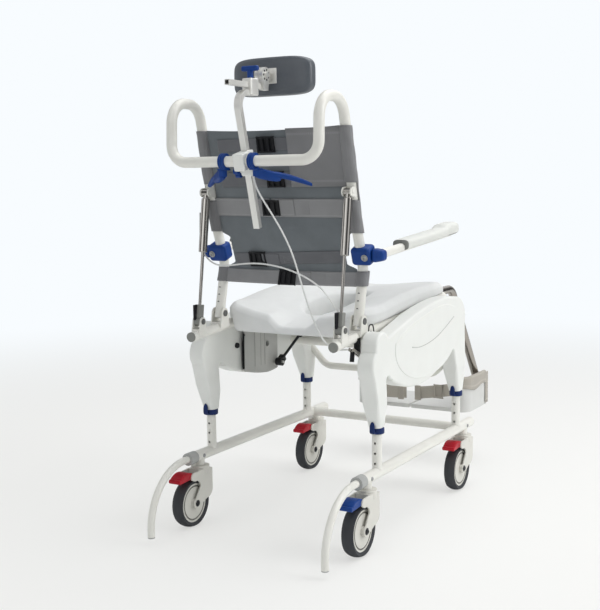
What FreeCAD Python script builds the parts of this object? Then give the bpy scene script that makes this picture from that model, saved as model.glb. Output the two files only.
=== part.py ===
import FreeCAD, Part
import math
import os

V = FreeCAD.Vector
X_AXIS = V(1, 0, 0)
Y_AXIS = V(0, 1, 0)
Z_AXIS = V(0, 0, 1)
ORIGIN = V(0, 0, 0)

# Attendant shower commode chair. Millimetres, floor at Z = 0, the sitter faces -Y, left is +X.
os.makedirs("parts", exist_ok=True)

# Running fits and gaps
FIT = 0.06
GAP = 0.4
SLIDE_GAP = 0.3
WALL = 2.0

# Wheeled base
RAIL_X = 240.0
RAIL_Z = 176.0
RAIL_R = 14.0
RAIL_REAR = 407.0
RAIL_FRONT = -294.0
CAP_LENGTH = 5.0
CROSS_Y = -215.0
CROSS_R = 12.0
REAR_LEG_Y = 326.0
FRONT_LEG_Y = -184.0
LEG_R = 12.0
LEG_TOP = 430.0
PIN_HOLE_R = 3.0
PIN_HOLE_PITCH = 25.0
PIN_HOLE_FIRST = 200.0
PIN_HOLES = 9
ANTI_TIP_R = 9.0
ANTI_TIP_BEND = 140.0
ANTI_TIP_RUN = 46.0
ANTI_TIP_END = 20.0
ANTI_TIP_INSERT = 60.0
COLLAR_LENGTH = 30.0
COLLAR_R = 16.0

# Castors
STEM_REAR_Y = 382.0
STEM_FRONT_Y = -240.0
STEM_R = 6.0
SOCKET_R = 12.0
SOCKET_END = 151.0
WHEEL_R = 62.5
WHEEL_TRAIL = 45.0
TYRE_W = 31.0
TYRE_DEPTH = 12.5
DISC_W = 22.0
HUB_W = 34.0
HUB_R = 11.0
AXLE_R = 4.0
CHEEK = 3.5
HEAD_R = 24.0
HEAD_TOP = 150.5
HEAD_BOTTOM = 130.0
PEDAL_PIN_Y = 56.0
PEDAL_PIN_Z = 135.0
PEDAL_PIN_R = 3.0
PEDAL_HUB_R = 6.0
PEDAL_REACH = 58.0
PEDAL_ROUND = 2.5

# Side panels with the leg covers
PANEL_IN = 218.0
PANEL_T = 44.0
PANEL_ROUND = 6.0
TAPER_TOP = 400.0
TAPER_OUT = 7.0
TAPER_IN = 5.0
TAPER_SPARE = 4.0
FOOT_ROUND = 13.0
RELIEF = 1.6
COVER_Z = 288.0
BORE_TOP = 486.0
CLIP_R = 18.0
CLIP_H = 15.0
TAB_W = 14.0
TAB_T = 5.0
TAB_RISE = 18.0
TAB_REACH = 28.5

# Cross tubes of the upper frame
UPPER_TUBE_Y = -66.0
UPPER_TUBE_Z = 420.0
UPPER_TUBE_R = 13.0
DIP_TUBE_R = 10.0
DIP_TUBE_Z = 328.0
DIP_END_Z = 378.0
DIP_CORNER_X = 172.0
DIP_BEND = 45.0

# Tilting seat frame
SEAT_X = 198.0
SEAT_TUBE_R = 12.0
SEAT_REAR_Y = 464.0
SEAT_REAR_Z = 497.0
SEAT_TUBE_FRONT = -185.0
SEAT_RISE_DEG = 4.8
END_CAP = 4.0
FRONT_TUBE_Y = -150.0
FRONT_TUBE_R = 10.0
FRONT_TUBE_DROP = 16.0
TILT_Y = 150.0
TILT_Z = 440.0
TILT_PIN_R = 8.0
TILT_PIN_IN = 12.0
HOUSING_OUT = 212.0
HOUSING_BOTTOM = 362.0
HOUSING_SHOULDER = 492.0

# Backrest, its pivot and the recline springs
BACK_X = SEAT_X
BACK_R = 12.5
PIVOT_Y = 338.0
PIVOT_Z = 543.0
PIVOT_BOLT_R = 5.0
EAR_T = 3.0
EAR_R = 14.0
SPRING_TOP_Y = 387.0
SPRING_TOP_Z = 849.0
SPRING_LOW_Y = 431.0
SPRING_LOW_Z = 532.0
SPRING_R = 10.5
SPRING_BARREL = 148.0
SPRING_EYE = 14.0
ROD_R = 4.0
PIN_R = 4.0
OPEN_EYE_R = 7.4
EYE_WALL = 3.6
EYE_W = 18.0
BAR_Y = 526.0
BAR_Z = 921.0
LOOP_TOP = 1062.0
LOOP_FRONT = 412.0
LOOP_REAR = 520.0
LOOP_BEND = 52.0
BAR_BEND = 42.0
BAR_HALF = 150.0
BEND_LOW = (309.0, 665.0)
BEND_HIGH = (344.0, 765.0)

# Sling
SLING_T = 3.0
SLING_TOP = 1000.0
SLING_SLEEVE_LOW = 752.0
SLING_STRAP_TOP = 662.0
SLING_LOW = 622.0
SLING_NECK = 26.0
SLING_SAG = 16.0
SLING_NOTCH = 20.0
STRAP_T = 2.4
STRAP_GAP = 0.3
STRAP_H = 38.0
STRAP_ZS = (962.0, 880.0, 812.0, 687.0, 640.0)
BUCKLE = (46.0, 7.0, 44.0)
BUCKLE_XS = (7.0, -10.0, 15.0, 80.0, -4.0)

# Armrests
ARM_X = 241.0
ARM_Y = 316.0
ARM_Z = 700.0
ARM_R = 11.0
ARM_PIN_R = 7.0
ARM_RISE_DEG = 4.3
ARM_FRONT = -122.0
PAD_REAR = 190.0
PAD_FRONT = -152.0
PAD_W = 50.0
PAD_DROP = 6.0
CLAMP_H = 44.0
CLAMP_D = 40.0

# Headrest
STEM_W = 16.0
STEM_D = 12.0
STEM_LEAN_DEG = 15.0
STEM_LOW_Z = 767.0
STEM_BEND = 30.0
KNOB_DROP = 26.0
KNOB_SCREW_R = 3.0
HEAD_BLOCK_Y = BAR_Y - 40.0
HEAD_ARM = 12.0
HEAD_JOINT_Z = 1120.0
HEAD_ARM_Z = HEAD_JOINT_Z - 26.0
STEM_TOP_Z = HEAD_ARM_Z - 18.0
HEAD_ARM_REAR = HEAD_BLOCK_Y + 97.0
HEAD_JOINT_Y = HEAD_BLOCK_Y - 50.0
HEAD_DISC_R = 18.0
HEAD_PAD_W = 216.0
HEAD_PAD_H = 92.0
HEAD_PAD_T = 44.0
HEAD_PAD_BACK = HEAD_JOINT_Y - 30.0

# Levers on the push bar
LEFT_LEVER_X = 42.0
RIGHT_LEVER_X = 22.0
LEVER_CLAMP_R = 18.0
LEVER_CLAMP_W = 15.0
LEVER_Z = 894.0
LEFT_LEVER_TIP = (137.0, 459.0, 866.0)
RIGHT_LEVER_TIP = (144.0, 459.0, 866.0)
LEVER_PIN_R = 3.0

# Tilt spring, on the left
TILT_SPRING_X = 158.0
TILT_EYE_Y = 110.0
TILT_EYE_Z = 385.0
TILT_FIX_Y = -95.0
TILT_FIX_Z = 497.0
TILT_BARREL_R = 9.0
TILT_BARREL = 110.0

# Release cables, the black cable loop and the cable ends under the right seat tube
CABLE_R = 2.0
LOOP_R = 1.5
LOOP_X = -213.6
ADJUSTER_R = 4.0
ADJUSTER_X = -206.0
ADJUSTER_PITCH = 10.0
ADJUSTER_REAR = (391.0, 482.0)
ADJUSTER_LOW = (330.0, 454.0)
BOOT_R = 5.5
LEVER_CABLE = [(-24.3, 520, 900.7), (-25, 517, 872), (-41, 512, 838), (-64, 504, 800), (-84, 493, 760),
               (-99, 481, 718), (-107, 469, 676), (-113, 458, 636), (-119, 447, 598), (-127, 437, 562),
               (-136, 428, 529), (-149, 419, 501), (-166, 411, 485), (-184, 402, 480.5), (-199, 393.5, 482.5)]
LINK_CABLE = [(214, 392, 800), (215, 393, 762), (213, 393, 724), (203, 392, 693), (180, 394, 675),
              (146, 402, 669), (103, 416, 674), (57, 430, 680), (10, 440, 682), (-36, 446, 678),
              (-78, 449, 669), (-115, 447, 655), (-147, 441, 635), (-170, 434.5, 609), (-191.5, 427.5, 575)]

# Seat
SEAT_FRONT = -206.0
SEAT_BACK = 312.0
SEAT_WELL = SEAT_X - 18.0
APERTURE_Y = 70.0
APERTURE_LENGTH = 236.0
APERTURE_W = 130.0

# Foot supports
HANGER_X = 160.0
HANGER_Y = -228.0
HANGER_R = 12.0
HANGER_PIN_R = 9.0
HANGER_LOW = 500.0
HANGER_RISE = 22.5
HANGER_KNEE_Y = -345.0
HANGER_TOE_Y = -598.0
HANGER_TOE_Z = 202.0
HANGER_HEEL_Y = -440.0
HANGER_BEND = 48.0
TOE_BEND = 26.0
SLEEVE_R = 14.0
PLATE_REAR = -410.0
PLATE_FRONT = -(RAIL_REAR + ANTI_TIP_RUN + ANTI_TIP_BEND + ANTI_TIP_R)
PLATE_IN = 4.0
PLATE_OUT = 188.0
PLATE_Z = 172.0
PLATE_T = 12.0
PLATE_WALL = 7.0
PLATE_WALL_TOP = 268.0
PLATE_CORNER = 34.0
HINGE_LUG = 5.0
STRAP_LOW = 196.0
STRAP_HIGH = 240.0
HEEL_BOW = 24.0


def export(name, *solids):
    """Write one node; several solids stay separate pieces of it."""
    shape = solids[0] if len(solids) == 1 else Part.makeCompound(list(solids))
    shape.exportStep("parts/%s.step" % name)


def mirrored(shape):
    return shape.mirror(ORIGIN, X_AXIS)


def pair(shape):
    return [shape, mirrored(shape)]


def fuse(first, *others):
    return first.multiFuse(list(others)).removeSplitter()


def cylinder(start, end, radius):
    axis = end - start
    return Part.makeCylinder(radius, axis.Length, start, axis)


def rod_x(x1, x2, y, z, radius):
    return cylinder(V(x1, y, z), V(x2, y, z), radius)


def box(x1, x2, y1, y2, z1, z2):
    return Part.makeBox(x2 - x1, y2 - y1, z2 - z1, V(x1, y1, z1))


def rounded_box(x1, x2, y1, y2, z1, z2, radius):
    solid = box(x1, x2, y1, y2, z1, z2)
    return solid.makeFillet(radius, solid.Edges)


def turned(shape, y, z, degrees):
    """Turn about the X direction through (y, z); positive takes +Z towards -Y."""
    copy = shape.copy()
    copy.rotate(V(0, y, z), X_AXIS, degrees)
    return copy


def route(points, radii):
    """Straight runs joined by tangent arcs at the inner points."""
    edges = []
    here = points[0]
    for before, corner, after, radius in zip(points, points[1:], points[2:], radii):
        back = (before - corner).normalize()
        ahead = (after - corner).normalize()
        half = back.getAngle(ahead) / 2
        enter = corner + back * (radius / math.tan(half))
        leave = corner + ahead * (radius / math.tan(half))
        middle = (back + ahead).normalize()
        edges.append(Part.LineSegment(here, enter).toShape())
        arc = Part.Arc(enter, corner + middle * (radius / math.sin(half) - radius), leave)
        edges.append(arc.toShape())
        here = leave
    edges.append(Part.LineSegment(here, points[-1]).toShape())
    return Part.Wire(edges)


def pipe(points, radii, radius):
    spine = route(points, radii)
    start = (points[1] - points[0]).normalize()
    ring = Part.Wire(Part.Circle(points[0], start, radius).toShape())
    return spine.makePipeShell([ring], True, False)


def tube(points, radii, radius):
    return pipe(points, radii, radius).cut(pipe(points, radii, radius - WALL))


def outline(x, start, *steps):
    """Closed YZ outline at x: one point is a line, two an arc, more a curve through them."""
    edges = []
    here = start
    for step in steps:
        points = [V(x, y, z) for y, z in (here,) + tuple(step)]
        if len(step) == 1:
            edges.append(Part.LineSegment(*points).toShape())
        elif len(step) == 2:
            edges.append(Part.Arc(*points).toShape())
        else:
            curve = Part.BSplineCurve()
            curve.interpolate(points)
            edges.append(curve.toShape())
        here = step[-1]
    if here != start:
        edges.append(Part.LineSegment(V(x, *here), V(x, *start)).toShape())
    return Part.Wire(edges)


def slab(wire, thickness):
    """Extrude a YZ outline along +X."""
    return Part.Face(wire).extrude(V(thickness, 0, 0))


def on_face(shape, x):
    """Edges that lie wholly on the plane at x."""
    return [e for e in shape.Edges if all(abs(v.X - x) < 1e-4 for v in e.Vertexes)
            and abs(e.BoundBox.XMax - e.BoundBox.XMin) < 1e-3]


def seat_tube_z(y):
    return SEAT_REAR_Z + (SEAT_REAR_Y - y) * math.tan(math.radians(SEAT_RISE_DEG))


def lerp(a, b, t):
    return a + (b - a) * t


# Base rails with castor sockets, legs and the anti-tip tubes

def rail_core(side):
    return cylinder(V(side * RAIL_X, RAIL_FRONT, RAIL_Z), V(side * RAIL_X, RAIL_REAR, RAIL_Z), RAIL_R)


def base_rail():
    solid = rail_core(1)
    sockets = [cylinder(V(RAIL_X, y, SOCKET_END), V(RAIL_X, y, RAIL_Z), SOCKET_R)
               for y in (STEM_REAR_Y, STEM_FRONT_Y)]
    solid = fuse(solid, *sockets)
    hollow = cylinder(V(RAIL_X, RAIL_FRONT + CAP_LENGTH, RAIL_Z), V(RAIL_X, RAIL_REAR, RAIL_Z), RAIL_R - WALL)
    bores = [cylinder(V(RAIL_X, y, SOCKET_END), V(RAIL_X, y, RAIL_Z), STEM_R + FIT)
             for y in (STEM_REAR_Y, STEM_FRONT_Y)]
    return solid.cut(hollow).cut(bores[0]).cut(bores[1])


def lower_leg(y):
    leg = cylinder(V(RAIL_X, y, RAIL_Z), V(RAIL_X, y, LEG_TOP), LEG_R)
    leg = leg.cut(cylinder(V(RAIL_X, y, RAIL_Z), V(RAIL_X, y, LEG_TOP), LEG_R - WALL)).cut(rail_core(1))
    for n in range(PIN_HOLES):
        z = PIN_HOLE_FIRST + n * PIN_HOLE_PITCH
        leg = leg.cut(cylinder(V(RAIL_X, y, z), V(RAIL_X, y + LEG_R, z), PIN_HOLE_R))
    return leg


def anti_tip_tube():
    rear = RAIL_REAR + ANTI_TIP_RUN + ANTI_TIP_BEND
    points = [V(RAIL_X, RAIL_REAR - ANTI_TIP_INSERT, RAIL_Z), V(RAIL_X, rear, RAIL_Z),
              V(RAIL_X, rear, ANTI_TIP_END)]
    return tube(points, [ANTI_TIP_BEND], ANTI_TIP_R)


def rail_collar():
    start = V(RAIL_X, RAIL_REAR, RAIL_Z)
    ring = cylinder(start, V(RAIL_X, RAIL_REAR + COLLAR_LENGTH, RAIL_Z), COLLAR_R)
    plug = cylinder(V(RAIL_X, RAIL_REAR - COLLAR_LENGTH, RAIL_Z), start, RAIL_R - WALL)
    bore = cylinder(V(RAIL_X, RAIL_REAR - COLLAR_LENGTH, RAIL_Z),
                    V(RAIL_X, RAIL_REAR + COLLAR_LENGTH, RAIL_Z), ANTI_TIP_R)
    return fuse(ring, plug).cut(bore)


def build_base():
    rail = base_rail()
    export("left_base_rail", rail)
    export("right_base_rail", mirrored(rail))
    cross = rod_x(-RAIL_X, RAIL_X, CROSS_Y, RAIL_Z, CROSS_R).cut(
        rod_x(-RAIL_X, RAIL_X, CROSS_Y, RAIL_Z, CROSS_R - WALL))
    export("front_cross_tube", cross.cut(rail_core(1)).cut(rail_core(-1)))
    legs = [lower_leg(REAR_LEG_Y), lower_leg(FRONT_LEG_Y)]
    export("lower_leg_tubes", *[leg for one in legs for leg in pair(one)])
    export("anti_tip_tubes", *(pair(anti_tip_tube()) + pair(rail_collar())))


# Castors, drawn about their own stem and then placed

def fork():
    hub_z = WHEEL_R
    half = TYRE_W / 2 + 2.5
    wire = outline(-half - CHEEK, (-HEAD_R, HEAD_TOP - 10), [(-HEAD_R, 92)],
                   [(-18, 74), (2, 66)], [(WHEEL_TRAIL - 8, hub_z - 11)],
                   [(WHEEL_TRAIL + 12, hub_z - 5), (WHEEL_TRAIL + 4, hub_z + 12)],
                   [(WHEEL_TRAIL - 16, 104)], [(WHEEL_TRAIL - 8, 118), (WHEEL_TRAIL + 8, 121)],
                   [(PEDAL_PIN_Y + 9, 126)], [(PEDAL_PIN_Y + 11, PEDAL_PIN_Z), (PEDAL_PIN_Y + 2, 143)],
                   [(HEAD_R, HEAD_TOP - 6)])
    solid = slab(wire, 2 * (half + CHEEK))
    solid = solid.cut(rod_x(-half, half, WHEEL_TRAIL, hub_z, WHEEL_R + 3))
    solid = solid.cut(box(-half, half, HEAD_R + 3, PEDAL_PIN_Y + 30, HEAD_BOTTOM - 20, HEAD_TOP))
    solid = fuse(solid, cylinder(V(0, 0, HEAD_BOTTOM), V(0, 0, HEAD_TOP), HEAD_R))
    solid = solid.cut(rod_x(-half, half, WHEEL_TRAIL, hub_z, WHEEL_R + 3))
    solid = fuse(solid, cylinder(V(0, 0, HEAD_TOP), V(0, 0, RAIL_Z - RAIL_R), STEM_R))
    outer = half + CHEEK
    solid = solid.cut(rod_x(-outer, outer, WHEEL_TRAIL, hub_z, AXLE_R))
    solid = solid.cut(rod_x(-outer, outer, PEDAL_PIN_Y, PEDAL_PIN_Z, PEDAL_PIN_R))
    axle = rod_x(-outer - 1, outer + 1, WHEEL_TRAIL, hub_z, AXLE_R)
    pin = rod_x(-outer, outer, PEDAL_PIN_Y, PEDAL_PIN_Z, PEDAL_PIN_R)
    return [solid, axle, pin]


def wheel():
    """Disc with a ring groove and a hub, and a tyre with rounded shoulders."""
    rim = WHEEL_R - TYRE_DEPTH
    points = [(AXLE_R + FIT, HUB_W / 2), (HUB_R, HUB_W / 2), (HUB_R, DISC_W / 2), (rim - 9, DISC_W / 2),
              (rim - 8, DISC_W / 2 - 1.5), (rim - 6, DISC_W / 2 - 1.5), (rim - 5, DISC_W / 2), (rim, DISC_W / 2)]
    loop = points + [(r, -w) for r, w in reversed(points)]
    disc = Part.Face(Part.makePolygon([V(w, r, 0) for r, w in loop + loop[:1]])).revolve(ORIGIN, X_AXIS, 360)
    edge = TYRE_W / 2
    sides = [(rim, -DISC_W / 2 - 1), (WHEEL_R - 4, -edge), (WHEEL_R - 4, edge), (rim, DISC_W / 2 + 1)]
    start, left, right, end = [V(w, r, 0) for r, w in sides]
    tread = Part.Arc(left, V(0, WHEEL_R, 0), right).toShape()
    ring = Part.Wire([Part.LineSegment(start, left).toShape(), tread,
                      Part.LineSegment(right, end).toShape(), Part.LineSegment(end, start).toShape()])
    return disc, Part.Face(ring).revolve(ORIGIN, X_AXIS, 360)


def pedal():
    tip = PEDAL_PIN_Y + PEDAL_REACH
    half = TYRE_W / 2 + 2.5 - SLIDE_GAP
    hub = rod_x(-half, half, PEDAL_PIN_Y, PEDAL_PIN_Z, PEDAL_HUB_R)
    wire = outline(-half, (PEDAL_PIN_Y, PEDAL_PIN_Z - PEDAL_HUB_R), [(tip - 8, PEDAL_PIN_Z - 9)],
                   [(tip, PEDAL_PIN_Z - 4), (tip - 7, PEDAL_PIN_Z + 1)],
                   [(PEDAL_PIN_Y + 28, PEDAL_PIN_Z + 12), (PEDAL_PIN_Y - 3, PEDAL_PIN_Z + PEDAL_HUB_R - 0.8)])
    plate = slab(wire, 2 * half)
    plate = plate.makeFillet(PEDAL_ROUND, on_face(plate, half) + on_face(plate, -half))
    return fuse(plate, hub).cut(rod_x(-half, half, PEDAL_PIN_Y, PEDAL_PIN_Z, PEDAL_PIN_R + FIT))


def build_castors():
    parts_fork = fork()
    parts_wheel = wheel()
    brake = pedal()
    for y, end in ((STEM_REAR_Y, "rear"), (STEM_FRONT_Y, "front")):
        for x, side in ((RAIL_X, "left"), (-RAIL_X, "right")):
            stem = V(x, y, 0)
            hub = V(x, y + WHEEL_TRAIL, WHEEL_R)
            export("%s_%s_fork" % (side, end), *[p.translated(stem) for p in parts_fork])
            export("%s_%s_wheel" % (side, end), *[p.translated(hub) for p in parts_wheel])
            export("%s_%s_pedal" % (side, end), brake.translated(stem))


# Side panels

def round_section(x1, x2, y1, y2, radius, z):
    """Closed XY outline at z with four round corners."""
    k = radius * (1 - math.sqrt(0.5))
    edges = []
    corners = [(x2, y1, -1, 1), (x2, y2, -1, -1), (x1, y2, 1, -1), (x1, y1, 1, 1)]
    arcs = []
    for x, y, sx, sy in corners:
        on_x = V(x + sx * radius, y, z)
        on_y = V(x, y + sy * radius, z)
        middle = V(x + sx * k, y + sy * k, z)
        arcs.append((on_x, middle, on_y) if sx * sy < 0 else (on_y, middle, on_x))
    for here, ahead in zip(arcs, arcs[1:] + arcs[:1]):
        edges += [Part.Arc(*here).toShape(), Part.LineSegment(here[2], ahead[0]).toShape()]
    return Part.Wire(edges)


def leg_column(low, high):
    """Tapered column with round corners that a leg cover is trimmed to; low and high are its spans along Y."""
    outer = PANEL_IN + PANEL_T
    foot = round_section(PANEL_IN + TAPER_IN, outer - TAPER_OUT, *low, FOOT_ROUND, COVER_Z)
    head = round_section(PANEL_IN - TAPER_SPARE, outer + TAPER_SPARE, high[0] - TAPER_SPARE, high[1] + TAPER_SPARE,
                         PANEL_ROUND, TAPER_TOP)
    return Part.makeLoft([foot, head], True, True)


def side_panel():
    rear = REAR_LEG_Y
    front = FRONT_LEG_Y
    wire = outline(PANEL_IN, (front - 22, COVER_Z), [(front - 12, 480)], [(front + 5, 541), (front + 44, 557)],
                   [(-66, 563), (50, 555), (146, 540), (237, 519), (rear - 21, 503)],
                   [(rear + 12, 519), (rear + 42, 494)], [(rear + 45, 474)],
                   [(rear + 63, 446), (rear + 55, 412)], [(rear + 19, COVER_Z)], [(rear - 19, COVER_Z)],
                   [(rear - 12, 392)], [(rear - 17, 408), (rear - 30, 402)],
                   [(207, 367), (146, 358), (63, 361), (-5, 377), (-67, 400), (front + 86, 413)],
                   [(front + 72, 414), (front + 63, 402)], [(front + 43, 345)], [(front + 19, COVER_Z)])
    solid = slab(wire, PANEL_T)
    outer = PANEL_IN + PANEL_T
    solid = solid.makeFillet(PANEL_ROUND, on_face(solid, outer) + on_face(solid, PANEL_IN))
    wide = PANEL_T / 2
    above = box(PANEL_IN - wide, outer + wide, front - PANEL_T, rear + 2 * PANEL_T, TAPER_TOP - 1, BORE_TOP + 2 * PANEL_T)
    belly = box(PANEL_IN - wide, outer + wide, front + 2 * PANEL_T, rear - PANEL_T, COVER_Z, TAPER_TOP)
    rear_column = leg_column((rear - 19, rear + 19), (rear - 19, rear + 52))
    front_column = leg_column((front - 22, front + 19), (front - 20, front + 63))
    solid = solid.common(fuse(above, belly, rear_column, front_column))
    raised = outline(outer - 1, (266, 484), [(262, 440), (235, 413), (160, 381), (87, 372), (-14, 381), (-98, 416),
                                             (-140, 470)],
                     [(-142, 500), (-124, 528)],
                     [(-66, 544), (50, 538), (146, 523), (220, 505), (266, 484)])
    relief = slab(raised, RELIEF + 1)
    solid = fuse(solid, relief.makeFillet(RELIEF * 0.9, on_face(relief, outer + RELIEF)))
    for y in (rear, front):
        bore = cylinder(V(RAIL_X, y, COVER_Z), V(RAIL_X, y, BORE_TOP), LEG_R + GAP)
        solid = solid.cut(bore)
    for y, z, r in ((TILT_Y, TILT_Z, TILT_PIN_R), (TILT_FIX_Y, TILT_FIX_Z, PIN_R)):
        solid = solid.cut(rod_x(PANEL_IN, PANEL_IN + TILT_PIN_IN, y, z, r))
    return solid


def height_clip(y):
    ring = cylinder(V(RAIL_X, y, COVER_Z - CLIP_H), V(RAIL_X, y, COVER_Z), CLIP_R)
    back = y + TAB_REACH
    tab = box(RAIL_X - TAB_W / 2, RAIL_X + TAB_W / 2, y, back, COVER_Z - CLIP_H, COVER_Z)
    hook = box(RAIL_X - TAB_W / 2, RAIL_X + TAB_W / 2, back - 0.5, back + TAB_T, COVER_Z - CLIP_H,
               COVER_Z + TAB_RISE)
    bore = cylinder(V(RAIL_X, y, COVER_Z - CLIP_H), V(RAIL_X, y, COVER_Z), LEG_R + GAP)
    return fuse(ring, tab, hook).cut(bore)


def build_upper_frame():
    panel = side_panel()
    export("left_side_panel", panel)
    export("right_side_panel", mirrored(panel))
    straight = rod_x(-PANEL_IN, PANEL_IN, UPPER_TUBE_Y, UPPER_TUBE_Z, UPPER_TUBE_R).cut(
        rod_x(-PANEL_IN, PANEL_IN, UPPER_TUBE_Y, UPPER_TUBE_Z, UPPER_TUBE_R - WALL))
    reach = PANEL_IN + 14
    slope = (DIP_END_Z - DIP_TUBE_Z) / (PANEL_IN - DIP_CORNER_X)
    end_z = DIP_END_Z + 14 * slope
    points = [V(-reach, FRONT_LEG_Y, end_z), V(-DIP_CORNER_X, FRONT_LEG_Y, DIP_TUBE_Z),
              V(DIP_CORNER_X, FRONT_LEG_Y, DIP_TUBE_Z), V(reach, FRONT_LEG_Y, end_z)]
    between = box(-PANEL_IN, PANEL_IN, FRONT_LEG_Y - 50, FRONT_LEG_Y + 50, 0, BORE_TOP)
    dipped = tube(points, [DIP_BEND, DIP_BEND], DIP_TUBE_R).common(between)
    export("frame_cross_tubes", straight, dipped)
    clips = [height_clip(REAR_LEG_Y), height_clip(FRONT_LEG_Y)]
    export("height_lock_clips", *[c for one in clips for c in pair(one)])
    pin = rod_x(HOUSING_OUT - 34, PANEL_IN + TILT_PIN_IN, TILT_Y, TILT_Z, TILT_PIN_R)
    washer = rod_x(HOUSING_OUT + GAP, PANEL_IN, TILT_Y, TILT_Z, TILT_PIN_R + 8)
    pivot = fuse(pin, washer)
    anchor = rod_x(TILT_SPRING_X - EYE_W / 2 - 2, PANEL_IN + TILT_PIN_IN, TILT_FIX_Y, TILT_FIX_Z, PIN_R)
    export("tilt_pivot_pins", *(pair(pivot) + [anchor]))


# Tilting seat frame

def seat_side_line(radius):
    front = V(SEAT_X, SEAT_TUBE_FRONT, seat_tube_z(SEAT_TUBE_FRONT))
    return cylinder(V(SEAT_X, SEAT_REAR_Y, SEAT_REAR_Z), front, radius)


def front_tube_line(radius):
    z = seat_tube_z(FRONT_TUBE_Y) - FRONT_TUBE_DROP
    return rod_x(-SEAT_X, SEAT_X, FRONT_TUBE_Y, z, radius)


def ear(y, z, radius, inner, hole):
    """Two upright plates on the seat tube with a saddle between them."""
    foot = seat_tube_z(y)
    wire = outline(SEAT_X + inner, (y - radius - 6, foot), [(y - radius, z)], [(y, z + radius), (y + radius, z)],
                   [(y + radius + 6, foot)])
    plate = slab(wire, EAR_T)
    other = plate.translated(V(-2 * inner - EAR_T, 0, 0))
    half = inner + EAR_T
    saddle = box(SEAT_X - half, SEAT_X + half, y - radius - 4, y + radius + 4, foot, foot + SEAT_TUBE_R + 2)
    holes = rod_x(SEAT_X - half, SEAT_X + half, y, z, hole)
    return fuse(plate, other, saddle).cut(holes)


def pivot_bolt(y, z, inner, radius):
    half = inner + EAR_T
    shank = rod_x(SEAT_X - half, SEAT_X + half, y, z, radius)
    heads = [rod_x(SEAT_X + s * half, SEAT_X + s * (half + 2.4), y, z, radius + 3) for s in (1, -1)]
    return fuse(shank, *heads)


BACK_EAR_IN = BACK_R + GAP
SPRING_EAR_IN = EYE_W / 2 + GAP


def hanger_sleeve():
    top = seat_tube_z(HANGER_Y) - FRONT_TUBE_DROP - 6
    sleeve = cylinder(V(HANGER_X, HANGER_Y, HANGER_LOW + 4), V(HANGER_X, HANGER_Y, top), SLEEVE_R)
    tube_z = seat_tube_z(FRONT_TUBE_Y) - FRONT_TUBE_DROP
    arm = cylinder(V(HANGER_X, FRONT_TUBE_Y, tube_z - 4), V(HANGER_X, HANGER_Y, tube_z - 14), FRONT_TUBE_R - 1)
    bore = cylinder(V(HANGER_X, HANGER_Y, HANGER_LOW), V(HANGER_X, HANGER_Y, top), HANGER_PIN_R + FIT)
    return sleeve, arm, bore, top


def seat_frame():
    back_ear = ear(PIVOT_Y, PIVOT_Z, EAR_R, BACK_EAR_IN, PIVOT_BOLT_R)
    spring_ear = ear(SPRING_LOW_Y, SPRING_LOW_Z, EAR_R - 3, SPRING_EAR_IN, PIN_R)
    sleeve, arm, bore, _ = hanger_sleeve()
    side = fuse(seat_side_line(SEAT_TUBE_R), back_ear, spring_ear, sleeve, arm)
    both = fuse(front_tube_line(FRONT_TUBE_R), side, mirrored(side))
    hollow = seat_side_line(SEAT_TUBE_R - WALL)
    for cut in pair(hollow) + pair(bore):
        both = both.cut(cut)
    return both.cut(rod_x(-SEAT_X, SEAT_X, FRONT_TUBE_Y, seat_tube_z(FRONT_TUBE_Y) - FRONT_TUBE_DROP,
                          FRONT_TUBE_R - WALL))


def end_cap():
    along = V(0, math.cos(math.radians(SEAT_RISE_DEG)), -math.sin(math.radians(SEAT_RISE_DEG)))
    end = V(SEAT_X, SEAT_REAR_Y, SEAT_REAR_Z)
    cap = cylinder(end, end + along * END_CAP, SEAT_TUBE_R)
    return fuse(cap, cylinder(end - along * 16, end, SEAT_TUBE_R - WALL))


def tilt_housing():
    """Faceted bearing block under the seat tube."""
    out = HOUSING_OUT
    plan = [(out, 86), (out, 206), (out - 10, 218), (out - 32, 202), (out - 40, 150), (out - 36, 92), (out - 30, 86)]
    points = [V(x, y, HOUSING_BOTTOM) for x, y in plan]
    block = Part.Face(Part.makePolygon(points + points[:1])).extrude(V(0, 0, seat_tube_z(86) - HOUSING_BOTTOM))
    belly = outline(out - 60, (60, 340), [(60, HOUSING_BOTTOM + 10)],
                    [(146, HOUSING_BOTTOM), (240, HOUSING_BOTTOM + 14)], [(240, 340)])
    above = outline(out - 60, (60, seat_tube_z(60)), [(240, seat_tube_z(240))], [(240, 600)], [(60, 600)])
    under_seat = box(out - 60, SEAT_WELL + 2 * GAP, 60, 240, HOUSING_SHOULDER, 600)
    for cut in (slab(belly, 90), slab(above, 90), under_seat, seat_side_line(SEAT_TUBE_R)):
        block = block.cut(cut)
    return block.cut(rod_x(out - 60, out, TILT_Y, TILT_Z, TILT_PIN_R + FIT))


def tilt_eye_pin():
    """Pin on the inner face of the left housing that the tilt spring pushes on."""
    return rod_x(TILT_SPRING_X - EYE_W / 2 - 3, HOUSING_OUT - 37, TILT_EYE_Y, TILT_EYE_Z, PIN_R)


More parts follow.
